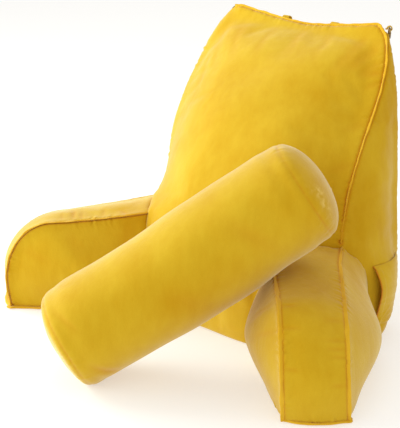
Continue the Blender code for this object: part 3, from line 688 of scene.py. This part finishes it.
def arm_grid(turn, side=1):
    """Fan rows over an arm: up the inner panel, across the strip and down the outer panel."""
    turn = turn[:, None]
    reach = np.linspace(0.0, 1.0, ARM_PANEL + 1)[None]
    q = np.linspace(0.0, 1.0, ARM_STRIP + 1)[None, 1:-1]
    near, far = (np.interp(turn, SEAM_TURNS, seam) for seam in (INNER_SEAM, OUTER_SEAM))
    inner, outer = arm_edge(turn, *INNER_EDGE), arm_edge(turn, *OUTER_EDGE)
    low = INNER_SEAM[0] + (near - INNER_SEAM[0]) * reach - panel_offset(reach, turn, *INNER_PANEL)
    high = OUTER_SEAM[0] + (far - OUTER_SEAM[0]) * reach + panel_offset(reach, turn, *OUTER_PANEL)
    rise = STRIP_CROWNS[side] * 4.0 * q * (1.0 - q)
    angle = inner[2]
    run = inner[0] + (outer[0] - inner[0]) * q
    height = inner[1] + (outer[1] - inner[1]) * q + rise * np.sin(angle)
    return np.concatenate((
        arm_place(inner[0] * reach, low, inner[1] * reach),
        arm_place(run, near + (far - near) * q, height, rise * np.cos(angle)),
        arm_place((outer[0] * reach)[:, ::-1], high[:, ::-1], (outer[1] * reach)[:, ::-1])), axis=1)


def arm_form(name, side):
    """An arm's closed form: the fan between its sewn face and its foot face."""
    grid = mirrored(arm_grid(np.linspace(0.0, 1.0, ARM_ROWS), side), side)
    faces = capped_faces(ARM_ROWS, grid.shape[1], around=False)
    return closed_piece(name, grid, faces, BODY_VELVET)


def arm_seam_paths(side):
    """The strip's two sewn edges with outward directions, then the outlines of foot and sewn face.

    Each direction lies between strip and side panel, turned a little more towards the panel's side.
    """
    grid = arm_grid(np.linspace(0.0, 1.0, 180))
    edges = []
    for column, turn in zip((ARM_PANEL, ARM_PANEL + ARM_STRIP), EDGE_TURNS[side]):
        path = grid[:, column]
        out = unit(path - grid[:, column - 1]) + unit(path - grid[:, column + 1])
        edges.append((mirrored(path, side), mirrored(unit(unit(out) + turn * SIDEWAYS), side)))
    ends = arm_grid(np.array((0.0, 1.0)))
    return edges, mirrored(ends[1], side), mirrored(ends[0], side)


def roll_axes():
    """Middle, axis and two cross directions of the neck roll; the second points most upwards."""
    middle = (ROLL_LEFT + ROLL_RIGHT) / 2.0 - np.array((0.0, BASE_MIDDLE, 0.0))
    axis = unit(ROLL_RIGHT - ROLL_LEFT)
    level = unit(np.cross(axis, (0.0, 0.0, 1.0)))
    return middle, axis, level, np.cross(level, axis)


def roll_profile():
    """Radius and place along the axis: two shallow domes, a dip at each sewn edge, a full side."""
    half = ROLL_LENGTH / 2.0
    edge = half - ROLL_DOME
    angle = np.radians(np.linspace(0.0, 80.0, 26))
    seam = ROLL_EDGE_SHARE * ROLL_RADIUS - ROLL_DIP
    radius = np.concatenate((DISC_SHARE * ROLL_RADIUS * np.sin(angle), (seam,)))
    along = np.concatenate((edge + ROLL_DOME * np.cos(angle), (edge,)))
    t = np.linspace(0.06, 1.0, 14)
    share = ROLL_EDGE_SHARE + (1.0 - ROLL_EDGE_SHARE) * np.sin(t * np.pi / 2.0)
    side = np.linspace(edge - ROLL_EDGE_RUN, 0.0, 34)[1:]
    radius = np.concatenate((radius, ROLL_RADIUS * share, np.full(len(side), ROLL_RADIUS)))
    along = np.concatenate((along, edge - ROLL_EDGE_RUN * t, side))
    return np.concatenate((radius, radius[-2::-1])), np.concatenate((along, -along[-2::-1]))


def roll_points(radius, along, turn):
    """Points of the roll as it lies: a circle, changed by its weight.

    Its underside sags between floor and arm, its upper side dips a little, its left end leans out
    at the bottom, and nothing goes below the floor.
    """
    middle, axis, level, up = roll_axes()
    share = along / ROLL_LENGTH + 0.5
    high, low = np.clip(np.sin(turn), 0.0, 1.0), np.clip(-np.sin(turn), 0.0, 1.0)
    scale = radius / ROLL_RADIUS
    sag = ROLL_BELLY * low * scale * smooth_step(share, *BELLY_RISE) * (1.0 - smooth_step(share, *BELLY_FALL))
    sag = sag + ROLL_PRESS * high * scale * bell(share - PRESS_PLACE[0], PRESS_PLACE[1])
    lean = (ROLL_LEAN_LOW * low - ROLL_LEAN_HIGH * high) * scale * (1.0 - smooth_step(share, *LEAN_SPAN))
    edge = ROLL_LENGTH / 2.0 - ROLL_DOME
    lean = lean - ROLL_FULL_END * np.clip((along - edge) / ROLL_DOME, 0.0, 1.0)
    points = (middle + (along - lean)[..., None] * axis - sag[..., None] * up
              + radius[..., None] * (np.cos(turn)[..., None] * level + np.sin(turn)[..., None] * up))
    points[..., 2] = np.maximum(points[..., 2], GAP)
    return points


def roll_place(radius, along, turn):
    """One such point."""
    return roll_points(*(np.array((value,)) for value in (radius, along, turn)))[0]


def roll_form():
    """The neck roll: its profile turned round the axis, poles closed by merging."""
    radius, along = roll_profile()
    turn = np.linspace(0.0, 2.0 * np.pi, ROLL_ROUND, endpoint=False)
    shape = (len(radius), ROLL_ROUND)
    grid = roll_points(np.broadcast_to(radius[:, None], shape), np.broadcast_to(along[:, None], shape),
                       np.broadcast_to(turn, shape))
    faces = grid_faces(len(radius), ROLL_ROUND, around=True)
    return closed_piece("bolster_velvet", grid, faces, ROLL_VELVET)


def roll_seam_path(end):
    """The ring where an end disc is sewn in; end is 1 at the right, -1 at the left."""
    turn = np.linspace(0.0, 2.0 * np.pi, 240)
    radius = np.full(240, ROLL_EDGE_SHARE * ROLL_RADIUS - ROLL_DIP)
    return roll_points(radius, np.full(240, end * (ROLL_LENGTH / 2.0 - ROLL_DOME)), turn)


# ---- inflating

def prepare(form, voxel, held_paths, held_extra):
    """Makes a form's mesh even, shrinks it away from what is sewn down, and adds the cloth.

    Weights fall from one at the held paths to nothing at PIN_FAR. held_extra gives the weight of
    faces that rest on the floor or are sewn to another cushion.
    """
    even = form.modifiers.new("even", "REMESH")
    even.mode = "VOXEL"
    even.voxel_size = voxel
    keep_evaluated(form)
    points, outward = surface(form)
    held = held_extra(points)
    for path in held_paths:
        distance = nearest_on(path, points)[0]
        held = np.maximum(held, 1.0 - smooth_step(distance, PIN_NEAR, PIN_FAR))
    set_coordinates(form, points - outward * (SHRINK * (1.0 - held))[:, None])
    group = form.vertex_groups.new(name="sewn")
    levels = np.round(held * 10.0).astype(int)
    for level in range(1, 11):
        group.add(np.flatnonzero(levels == level).tolist(), level / 10.0, "REPLACE")
    cloth = form.modifiers.new("inflate", "CLOTH")
    settings = cloth.settings
    settings.quality, settings.mass = CLOTH_QUALITY, CLOTH_MASS
    settings.tension_stiffness = settings.compression_stiffness = STRETCH_STIFF
    settings.shear_stiffness, settings.bending_stiffness = SHEAR_STIFF, BEND_STIFF
    settings.use_pressure = True
    settings.uniform_pressure_force, settings.shrink_min = PRESSURE, SLACK
    settings.vertex_group_mass, settings.pin_stiffness = "sewn", PIN_STIFF
    settings.effector_weights.gravity = 0.0
    cloth.collision_settings.use_collision = False
    cloth.point_cache.frame_start = 1
    cloth.point_cache.frame_end = INFLATE_FRAMES
    return points


def settle(form, wanted, cap, rounds):
    """Reads the inflated mesh, caps how far it may be from its form, evens and subdivides it."""
    keep_evaluated(form)
    move = coordinates(form) - wanted
    far = np.linalg.norm(move, axis=1, keepdims=True)
    set_coordinates(form, wanted + move * np.minimum(1.0, cap / np.maximum(far, 1e-9)))
    form.vertex_groups.clear()
    even = form.modifiers.new("even out", "SMOOTH")
    even.factor = 0.5
    even.iterations = rounds
    finer = form.modifiers.new("finer", "SUBSURF")
    finer.levels = finer.render_levels = 1
    keep_evaluated(form)
    form.data.shade_smooth()


# ---- relief

def draw_out(points, path, out, width):
    """Draws the rounded corner of the even mesh back out to its sewn line.

    Each sample of the line moves the cloth round it by its own distance to the cloth, times a
    bell over how much further off a point is.
    """
    line = even_path(np.concatenate((path, unit(out)), axis=1))
    gap = nearest_on(points, line[:, :3])[0]
    distance, sample = nearest_on(line[:, :3], points)
    move = gap[sample] * bell(distance - gap[sample], width)
    return points + line[sample, 3:] * move[:, None]


def seam_relief(points, outward, path, seed, groove, width, pucker):
    """A groove along a sewn edge, with puckers across it that fade into the cloth.

    The groove is a bell over the distance. A pucker is a wandering wave along the seam, times the
    distance over its reach and a falling exponential of that, so it is fullest a little way off.
    """
    line = even_path(path)
    distance, sample = nearest_on(line, points)
    s = sample * PATH_STEP
    strength = 0.40 + 0.60 * wander(s, seed + 1, STRENGTH_WAVES)
    wave = wander(s + 0.2 * distance, seed, PUCKER_WAVES)
    u = distance / PUCKER_REACH
    lift = pucker * np.clip(strength, 0.0, 1.2) * wave * u * np.exp(1.0 - u ** 1.3)
    return points + outward * (lift - groove * bell(distance, width))[:, None]


def crease(form, line, depth, width, fold):
    """Presses a soft trough with a low ridge on each side along a given line.

    Its depth is a bell across the line minus a wider one, and fades as a half sine to both ends.
    The same weight is added to fold, which paints shade into the trough as a deeper orange.
    """
    points, outward = surface(form)
    path = even_path(line)
    distance, sample = nearest_on(path, points, 6.0 * width)
    trough = bell(distance, width)
    fade = 0.25 + 0.75 * np.sin(np.pi * sample / (len(path) - 1))
    across = (trough - RIDGE_SHARE * bell(distance, RIDGE_WIDTH * width)) * fade
    set_coordinates(form, points - outward * (depth * across)[:, None])
    shade_strength = min(depth / DEEP_SHADE, 1.0) * np.exp(-width / NARROW_SHADE)
    fold += np.clip(trough * fade * shade_strength, 0.0, 1.0) * CREASE_SHADE_SHARE


def press_creases(form, fold, table, stroke):
    """Presses every crease of a table, and stores each point's painted shade, from seam grooves and creases,
    as fold for the velvet.
    """
    for *ends, depth, width in table:
        crease(form, stroke(*ends), depth, width, fold)
    set_value(form, "fold", np.clip(fold, 0.0, 1.0))


def front_line(across_0, height_0, across_1, height_1):
    """A bowed stroke on the front panel, between two places given by across and height."""
    across, height = np.linspace(across_0, across_1, 24), np.linspace(height_0, height_1, 24)
    across = across + 0.25 * (height_1 - height_0) * np.sin(np.linspace(0.0, np.pi, 24))
    s = sizes_along(height)
    x = s["seam_x"] * across
    return np.stack((x, front_depth(s, across) - BASE_MIDDLE, height + ear(height, x, s["seam_x"])), axis=1)


def arm_line(side, turn_0, column_0, turn_1, column_1):
    """A stroke over an arm between two places given by turn and column of its fan."""
    turn = np.linspace(turn_0, turn_1, 12)
    column = np.round(np.linspace(column_0, column_1, 12)).astype(int)
    return mirrored(arm_grid(turn, side)[np.arange(12), column], side)


def roll_line(turn_0, share_0, turn_1, share_1):
    """A stroke along the roll's side between two places given by turn and share of the length."""
    turn = np.radians(np.linspace(turn_0, turn_1, 16))
    along = (np.linspace(share_0, share_1, 16) - 0.5) * ROLL_LENGTH
    return roll_points(np.full(16, ROLL_RADIUS), along, turn)


def unevenness(points, outward, seed, depth):
    """Low lumps of the filling: three crossed sines of different lengths, added along the normal."""
    rng = np.random.default_rng(seed)
    total = np.zeros(len(points))
    for length in LUMP_LENGTHS:
        direction = unit(rng.normal(size=3))
        total += np.sin(2.0 * np.pi * (points @ direction) / length + rng.uniform(0.0, 6.28))
    return points + outward * (depth * total / len(LUMP_LENGTHS))[:, None]


def relieve(form, steps):
    """Runs the relief steps one after another; each reads the points that the last one left."""
    for step in steps:
        points = step(*surface(form))
        points[:, 2] = np.maximum(points[:, 2], GAP)
        set_coordinates(form, points)


# ---- sewn edges

def sewn_edge(name, path, out, seed, width=FLANGE_WIDTH, thick=FLANGE_THICK, ears=(), tall=1.0,
              material=None):
    """A raised sewn edge: a rounded blade carried along a path.

    Its lean and width wander a little along the length, stitches pinch it near the root, both
    ends draw in, and it stands wider at the ears. tall scales its width at each point.
    """
    tall = np.ones((len(path), 1)) * tall
    data = even_path(np.concatenate((path, out, tall), axis=1), FLANGE_STEP)
    path, out = data[:, :3], data[:, 3:6]
    s = path_length(path)
    along = unit(np.gradient(path, axis=0))
    out = unit(out - along * np.sum(out * along, axis=1, keepdims=True))
    flat = np.cross(along, out)
    out = unit(out + 0.18 * wander(s, seed, LEAN_WAVES)[:, None] * flat)
    grow = width * data[:, 6] * (1.0 + 0.11 * wander(s, seed + 1, WIDTH_WAVES))
    for ear_place in ears:
        away = np.linalg.norm(path - ear_place, axis=1)
        grow = grow * (1.0 + FLANGE_EAR * bell(away, FLANGE_EAR_REACH))
    end = np.clip(np.minimum(s, s[-1] - s) / 0.002, 0.3, 1.0) ** 0.5
    turn = np.linspace(0.0, 2.0 * np.pi, FLANGE_SIDES, endpoint=False)
    reach, lean = squared_off(np.sin(turn), 0.7), squared_off(np.cos(turn), 0.8)
    stitch = 0.5 + 0.5 * np.cos(2.0 * np.pi * s / STITCH_PITCH)
    pinch = 1.0 - FLANGE_PINCH * stitch[:, None] * bell(reach + 0.2, 0.35)
    half = (grow + ROOT_DEPTH) / 2.0 * end
    points = (path[:, None] + out[:, None] * ((half * (1.0 + reach[:, None])).T[..., None] - ROOT_DEPTH)
              + flat[:, None] * (thick / 2.0 * end[:, None] * lean * pinch)[..., None])
    points[..., 2] = np.maximum(points[..., 2], GAP)
    return closed_piece(name, points, capped_faces(len(path), FLANGE_SIDES), material or LIT_EDGE_VELVET)


def base_edge(name, side, seed):
    """The base seam's edge, flat on the floor round an arm's foot, with an ear at one corner."""
    foot = arm_grid(np.array((1.0,)))[0]
    start, stop = BASE_EDGE_COLUMNS[side]
    path = foot[start:stop].copy()
    path[:, 2] = GAP + BASE_EDGE_THICK / 2.0 + 0.0002
    tangent = unit(np.gradient(path, axis=0))
    out = np.stack((-tangent[:, 1], tangent[:, 0], np.zeros(len(path))), axis=1)
    out = out * np.sign(np.sum(out * (path - path.mean(axis=0)), axis=1))[:, None]
    corner = path[ARM_PANEL - start + (ARM_STRIP if side > 0 else 0)]
    path = path + out * BASE_EDGE_OUT
    s = path_length(path)[:, None]
    tall = smooth_step(s, 0.0, 0.030) if side > 0 else 1.0
    return sewn_edge(name, mirrored(path, side), mirrored(out, side), seed, width=BASE_EDGE_WIDTHS[side],
                     thick=BASE_EDGE_THICK, ears=(mirrored(corner, side),), tall=tall)


# ---- small pieces

def side_surface(height, t, off):
    """Points off metres along the normal from the backrest's right side panel."""
    s = sizes_along(height)
    x, y = side_place(s, t)
    slope_x = s["rear_x"] - s["seam_x"] + 4.0 * (1.0 - 2.0 * t) * s["side"]
    slope_y = s["rear_y"] - s["seam_y"]
    normal = unit(np.stack((slope_y, -slope_x), axis=-1))
    return np.stack((x + off * normal[:, 0], y + off * normal[:, 1] - BASE_MIDDLE, height), axis=-1)


def pocket_cloth():
    """The pocket: sewn down behind, above and below, gaping in front, with a turned hem.

    The gape is a falling power from the mouth times a half sine up the height. The hem is a low
    step behind the mouth, and pull lines run back from both ends of the mouth.
    """
    steps = np.linspace(0.0, 1.0, POCKET_GRID)
    v, u = np.repeat(steps, POCKET_GRID), np.tile(steps, POCKET_GRID)
    height = POCKET_LOW + (POCKET_HIGH - POCKET_LOW) * v
    gape = POCKET_GAPE * (1.0 - u) ** 1.6 * np.sin(np.pi * v ** POCKET_LIFT)
    uneven = 1.0 + 0.3 * wander(v * POCKET_TALL, 5, HEM_WAVES)
    hem = POCKET_HEM * (1.0 - smooth_step(u, 0.10, 0.13)) * uneven
    pull = 0.0
    for v_end, slope, length in POCKET_PULLS:
        pull = pull + POCKET_PULL * bell(v - v_end - slope * u, 0.035) * np.clip(1.0 - u / length, 0.0, 1.0)
    ripple = POCKET_RIPPLE * wander(v * POCKET_TALL + 0.02 * u, 8, RIPPLE_WAVES) * np.sin(np.pi * u)
    edge = np.minimum(np.minimum(v, 1.0 - v) * POCKET_TALL, (1.0 - u) * POCKET_DEEP)
    sunk = POCKET_SUNK * (1.0 - smooth_step(edge, 0.0, 0.006))
    off = POCKET_AIR + gape + hem + pull - sunk + np.clip(ripple, -0.0003, 1.0)
    t = POCKET_MOUTH + (POCKET_END - POCKET_MOUTH) * u
    faces = grid_faces(POCKET_GRID, POCKET_GRID)
    piece = mesh_piece("pocket_cloth", side_surface(height, t, off), faces, BODY_VELVET)
    cloth = piece.modifiers.new("cloth", "SOLIDIFY")
    cloth.thickness = CLOTH_THICK
    cloth.offset = 1.0
    cloth.use_even_offset = True
    soft = piece.modifiers.new("soft edge", "BEVEL")
    soft.width = 0.0007
    soft.segments = 2
    soft.limit_method = "ANGLE"
    keep_evaluated(piece)
    piece.data.shade_smooth()
    # Painted shade: the velvet turns a deeper orange along the pocket's mouth, where shade falls into the
    # opening.
    mouth = side_surface(height[u == 0.0], t[u == 0.0], off[u == 0.0] + CLOTH_THICK / 2.0)
    away = nearest_on(even_path(mouth, 0.001), coordinates(piece))[0]
    set_value(piece, "fold", bell(away, 0.0030))
    dress(piece, "pocket_panel")


def band(name, path, across, waist=(0.0, 1.0, 0.0)):
    """A woven-in band of cloth: its section is a flattened ring carried along the path.

    waist gives a place along it, a reach and the share by which a bell narrows the band there.
    """
    fine = even_path(path, 0.0010)
    along = unit(np.gradient(fine, axis=0))
    wide = np.asarray(across, dtype=float) / 2.0
    flat = unit(np.cross(along, wide))
    turn = np.linspace(0.0, 2.0 * np.pi, 20, endpoint=False)
    sideways, through = squared_off(np.cos(turn), 0.35), squared_off(np.sin(turn), 0.6)
    run = path_length(fine)
    wave = 0.0003 * wander(run, len(name), (0.008, 0.013, path_length(path)[-1]))
    narrow = 1.0 - waist[2] * bell(run - waist[0], waist[1])
    points = (fine[:, None] + narrow[:, None, None] * wide * sideways[:, None]
              + flat[:, None] * (CLOTH_THICK / 2.0 * through + wave[:, None])[..., None])
    return closed_piece(name, points, capped_faces(len(fine), len(turn)), BODY_VELVET)


def top_tabs():
    """Each tab leaves the ridge behind the sewn edge, rises, folds over and hangs behind."""
    ridge = back_grid(np.array((BACK_TOP,)))[0, BACK_FRONT + BACK_SIDE + BACK_FRONT // 2]
    start = ridge + np.array((0.0, TAB_BEHIND, -TAB_SUNK))
    angle = np.radians(np.linspace(180.0, 0.0, 16))
    fold = np.stack((
        0.0 * angle, TAB_FOLD * (1.0 + np.cos(angle)), TAB_RISE + TAB_FOLD * np.sin(angle)), axis=1)
    path = np.concatenate((start[None], start + fold))
    for drop in TAB_DROPS:
        path = np.concatenate((path, path[-1:] + np.array((0.0, TAB_SLANT * drop, -drop))))
    for word, place in zip(("left", "right"), TAB_PLACES):
        path[:, 0] = place
        rise = np.array((0.0, 0.0, EAR_RISE * (abs(place) / BACK_TABLE[-1, 1]) ** EAR_POWER))
        tab = band("top_tab_cloth_" + word, path + rise, (TAB_WIDTH, 0.0, 0.0), TAB_WAIST)
        dress(tab, "top_tab_" + word)


def rings_and_loops():
    """Brass rings as turned wires, each in a loop of cloth behind a top corner."""
    corner = back_grid(np.array((RING_LEVEL,)))[0, BACK_FRONT + BACK_SIDE]
    plane = np.array((-RING_OUT[1], RING_OUT[0], 0.0))
    up = np.array((0.0, 0.0, 1.0))
    hang = corner + RING_OUT * RING_REACH + up * RING_LIFT
    centre = hang - up * RING_RADIUS
    major = np.linspace(0.0, 2.0 * np.pi, RING_STEPS, endpoint=False)[:, None]
    minor = np.linspace(0.0, 2.0 * np.pi, WIRE_STEPS, endpoint=False)[None]
    wire = RING_WIRE * (1.0 + 0.05 * np.sin(3.0 * major))
    reach = RING_RADIUS + wire * np.cos(minor)
    ring = (centre + (reach * np.cos(major))[..., None] * plane + (reach * np.sin(major))[..., None] * up
            + (wire * np.sin(minor))[..., None] * RING_OUT)
    ring = np.concatenate((ring, ring[:1]))
    faces = grid_faces(RING_STEPS + 1, WIRE_STEPS, around=True)
    radius = RING_WIRE + LOOP_AIR + CLOTH_THICK / 2.0
    angle = np.linspace(*LOOP_ANGLES, 40)
    loop = hang + radius * (np.cos(angle)[:, None] * RING_OUT + np.sin(angle)[:, None] * up)
    loop = np.concatenate(((corner + RING_OUT * LOOP_START)[None], loop))
    for word, side in (("left", -1), ("right", 1)):
        piece = closed_piece("ring_brass_" + word, mirrored(ring, side), faces, BRASS)
        dress(piece, "ring_" + word)
        cloth = band("ring_loop_" + word, mirrored(loop, side), mirrored(plane, side) * LOOP_WIDTH)
        dress(cloth, "ring_tab_" + word)


# ---- the pillow

def on_floor(points):
    """One at floor level, nothing from 12 mm up."""
    return 1.0 - smooth_step(points[:, 2], 0.004, 0.012)


def near_sewing(points):
    """One on the plane in which the arms are sewn to the backrest, nothing a little way off."""
    ahead = np.abs(points[:, 0]) * SEW_NORMAL[0] + (points[:, 1] + BASE_MIDDLE) * SEW_NORMAL[1] - SEW_REACH
    return 1.0 - smooth_step(np.abs(ahead), 0.002, 0.012)


def back_held(points):
    """Held parts of the backrest: its base, the faces behind the arms, and under the pocket."""
    sewn = near_sewing(points) * (points[:, 2] < 0.200)
    pocket = (points[:, 0] > 0.20) & (points[:, 1] > 0.015) & (points[:, 2] < 0.155)
    return np.maximum(np.maximum(on_floor(points), sewn), pocket.astype(float))


def arm_held(points):
    """Held parts of an arm: its foot and the face sewn to the backrest."""
    return np.maximum(on_floor(points), near_sewing(points))


def seam_shade(form, paths, width=GROOVE_SHADE_WIDTH):
    """How much painted shade each point gets from the groove of a seam: a bell over its distance."""
    points = coordinates(form)
    near = np.min([nearest_on(even_path(path), points)[0] for path in paths], axis=0)
    return GROOVE_SHADE_SHARE * bell(near, width)


def nub(points, outward):
    """The small nub on the right disc, where its cloth is gathered: a narrow bell less a wide one."""
    along = ROLL_LENGTH / 2.0 - ROLL_DOME * (1.0 - np.cos(NUB_PLACE))
    place = roll_place(DISC_SHARE * ROLL_RADIUS * np.sin(NUB_PLACE), along, NUB_TURN)
    away = np.linalg.norm(points - place, axis=1)
    return points + outward * sum(height * bell(away, reach) for height, reach in NUB_BELLS)[:, None]


def disc_sheen_patches(points):
    """Painted sheen on the right disc's brushed pile: bells round listed spots."""
    total = np.zeros(len(points))
    for turn, share, size in DISC_SHEEN_PATCHES:
        along = ROLL_LENGTH / 2.0 - ROLL_DOME * share ** 2 * 0.6
        place = roll_place(share * ROLL_RADIUS, along, np.radians(turn))
        total += bell(np.linalg.norm(points - place, axis=1), size)
    return np.clip(total, 0.0, 1.0)


def dress_back(back, path, out, rear_edges):
    """The backrest's lumps, drawn-out corners, seams and creases; painted shade goes into its creases and
    into the grooves of its right and top seams.
    """
    relieve(back, [
        lambda p, n: unevenness(p, n, 3, BACK_LUMPS),
        lambda p, n: draw_out(p, *rear_edges[0], DRAW_REAR),
        lambda p, n: draw_out(p, *rear_edges[1], DRAW_REAR),
        lambda p, n: draw_out(p, path, out, DRAW_BACK),
        lambda p, n: seam_relief(p, n, rear_edges[0][0], 13, **REAR_SEAM),
        lambda p, n: seam_relief(p, n, rear_edges[1][0], 15, **REAR_SEAM),
        lambda p, n: seam_relief(p, n, path, 11, **EDGE_SEAM)])
    press_creases(back, seam_shade(back, (path[:-BACK_SEAM_ROWS],)), FRONT_CREASES, front_line)


def dress_arm(arm, side, seed, edges, foot):
    """An arm's lumps, drawn-out corners, seams and creases; painted shade goes into its creases and seam
    grooves, except along the left arm's outer seam.
    """
    (inner, inner_out), (outer, outer_out) = edges
    relieve(arm, [
        lambda p, n: unevenness(p, n, seed, ARM_LUMPS),
        lambda p, n: draw_out(p, inner, inner_out, DRAW_ARM),
        lambda p, n: draw_out(p, outer, outer_out, DRAW_ARM),
        lambda p, n: seam_relief(p, n, inner, seed + 1, **EDGE_SEAM),
        lambda p, n: seam_relief(p, n, outer, seed + 2, **EDGE_SEAM),
        lambda p, n: seam_relief(p, n, foot, seed + 3, **FOOT_SEAM)])
    fold = seam_shade(arm, (inner, outer) if side > 0 else (inner,))
    press_creases(arm, fold, RIGHT_CREASES if side > 0 else LEFT_CREASES,
                  lambda *ends: arm_line(side, *ends))


def dress_roll(roll, paths):
    """The roll's lumps, disc seams, nub and creases; painted shade in its disc seams and creases, and painted
    sheen patches on the right disc.
    """
    relieve(roll, [
        lambda p, n: unevenness(p, n, 5, ROLL_LUMPS),
        lambda p, n: seam_relief(p, n, paths[0], 41, **DISC_SEAM),
        lambda p, n: seam_relief(p, n, paths[1], 43, **DISC_SEAM),
        nub])
    fold = DISC_SHADE_SHARE * seam_shade(roll, paths, DISC_SHADE_WIDTH)
    press_creases(roll, fold, ROLL_CREASES, roll_line)
    # painted sheen patches on the right disc
    set_value(roll, "sheen_patch", disc_sheen_patches(coordinates(roll)))


def cushions():
    """Makes the four forms, inflates them together and gives each its relief."""
    forms = (back_form(), arm_form("arm_velvet_right", 1), arm_form("arm_velvet_left", -1), roll_form())
    back, right, left, roll = forms
    back_path, back_out = back_seam_path()
    arms = {side: arm_seam_paths(side) for side in (1, -1)}
    roll_paths = [roll_seam_path(1), roll_seam_path(-1)]
    rear_edges = rear_edge_paths()
    held = [(back_path, *(path for path, out in rear_edges))]
    held += [(*(path for path, out in edges), foot, sewn) for edges, foot, sewn in arms.values()]
    wanted = [prepare(form, voxel, [even_path(path) for path in paths], rest)
              for form, voxel, paths, rest in zip(forms, VOXELS, held + [roll_paths],
                                                  (back_held, arm_held, arm_held, on_floor))]
    for number in range(1, INFLATE_FRAMES + 1):
        bpy.context.scene.frame_set(number)
    for form, points, cap, rounds in zip(forms, wanted, SWELL_CAPS, EVEN_ROUNDS):
        settle(form, points, cap, rounds)
    bpy.context.scene.frame_set(1)
    dress_back(back, back_path, back_out, rear_edges)
    dress_arm(right, 1, 21, *arms[1][:2])
    dress_arm(left, -1, 31, *arms[-1][:2])
    dress_roll(roll, roll_paths)
    for form, node, fill in ((back, "backrest", 0.75), (right, "arm_right", 0.8),
                             (left, "arm_left", 0.8), (roll, "bolster", 0.85)):
        dress(form, node)


def sewn_edges():
    """The raised edges of the backrest and the arms, and the base edges at the arms' feet."""
    path, out = back_seam_path()
    left = smooth_step(-path[:, :1], *LEFT_SHARE)
    piece = sewn_edge("back_sewn_edge", path + left * LEFT_BEHIND, out, 51, tall=1.0 - LEFT_NARROW * left)
    dress(piece, "seam_back")
    for side, word in ((1, "right"), (-1, "left")):
        for label, (path, out), seed in zip(("inner", "outer"), arm_seam_paths(side)[0], (61, 71)):
            # The left arm's outer edge lies nearly flat and takes the cushions' velvet, without the painted
            # highlight of the other edges.
            look = {"tall": HIDDEN_TALL, "material": BODY_VELVET} if (side, label) == (-1, "outer") else {}
            piece = sewn_edge("arm_sewn_edge_%s_%s" % (word, label), path, out, seed + side, **look)
            dress(piece, "seam_arm_%s_%s" % (word, label))
        piece = base_edge("arm_base_edge_" + word, side, 81 + side)
        dress(piece, "seam_arm_%s_base" % word)


# ---- stage

def floor():
    """A wide pale floor that glows a little, as a white studio ground does."""
    material, tree, shader = new_material("pale floor")
    fill_sockets(tree, shader, {"Base Color": FLOOR_GREY, "Roughness": 0.9, "Emission Color": WHITE,
                                "Emission Strength": FLOOR_GLOW})
    corners = FLOOR_HALF * np.array(((-1.0, -1.0, 0.0), (1.0, -1.0, 0.0), (1.0, 1.0, 0.0), (-1.0, 1.0, 0.0)))
    mesh_piece("floor", corners, [[0, 1, 2, 3]], material)


def aim(thing, place, towards):
    """Puts a lamp or camera at a place and turns it to look along a direction."""
    thing.location = place
    thing.rotation_euler = Vector(towards).to_track_quat("-Z", "Y").to_euler()


def lights():
    """Lamps turned to VIEW_TARGET, and a world seen as white that lights a little warmer and weaker."""
    bpy.context.scene.view_settings.view_transform = "Standard"
    for name, place, size, power, colour in LAMPS:
        light = bpy.data.lights.new(name, "AREA")
        light.shape = "RECTANGLE"
        light.size, light.size_y = size
        light.energy, light.color = power, colour
        aim(add_object(name, light), place, VIEW_TARGET - np.array(place))
    world = bpy.data.worlds.new("studio")
    bpy.context.scene.world = world
    world.use_nodes = True
    tree = world.node_tree
    seen = tree.nodes.new("ShaderNodeLightPath").outputs["Is Camera Ray"]
    fill_sockets(tree, tree.nodes["Background"], {
        "Color": mixed(tree, seen, WORLD_TINT, WHITE),
        "Strength": spread(tree, seen, 0.0, 1.0, WORLD_STRENGTH, WORLD_SEEN)})


def camera():
    """The photograph's camera, at VIEW_DISTANCE from VIEW_TARGET."""
    lens = bpy.data.cameras.new("camera")
    lens.lens, lens.sensor_width = VIEW_LENS, VIEW_SENSOR
    lens.clip_end = 100.0
    back = np.array((np.sin(VIEW_AZIMUTH) * np.cos(VIEW_ELEVATION),
                     -np.cos(VIEW_AZIMUTH) * np.cos(VIEW_ELEVATION), np.sin(VIEW_ELEVATION)))
    bpy.context.scene.camera = add_object("camera", lens)
    aim(bpy.context.scene.camera, VIEW_TARGET + back * VIEW_DISTANCE, -back)


camera()
lights()
floor()
cushions()
sewn_edges()
pocket_cloth()
top_tabs()
rings_and_loops()
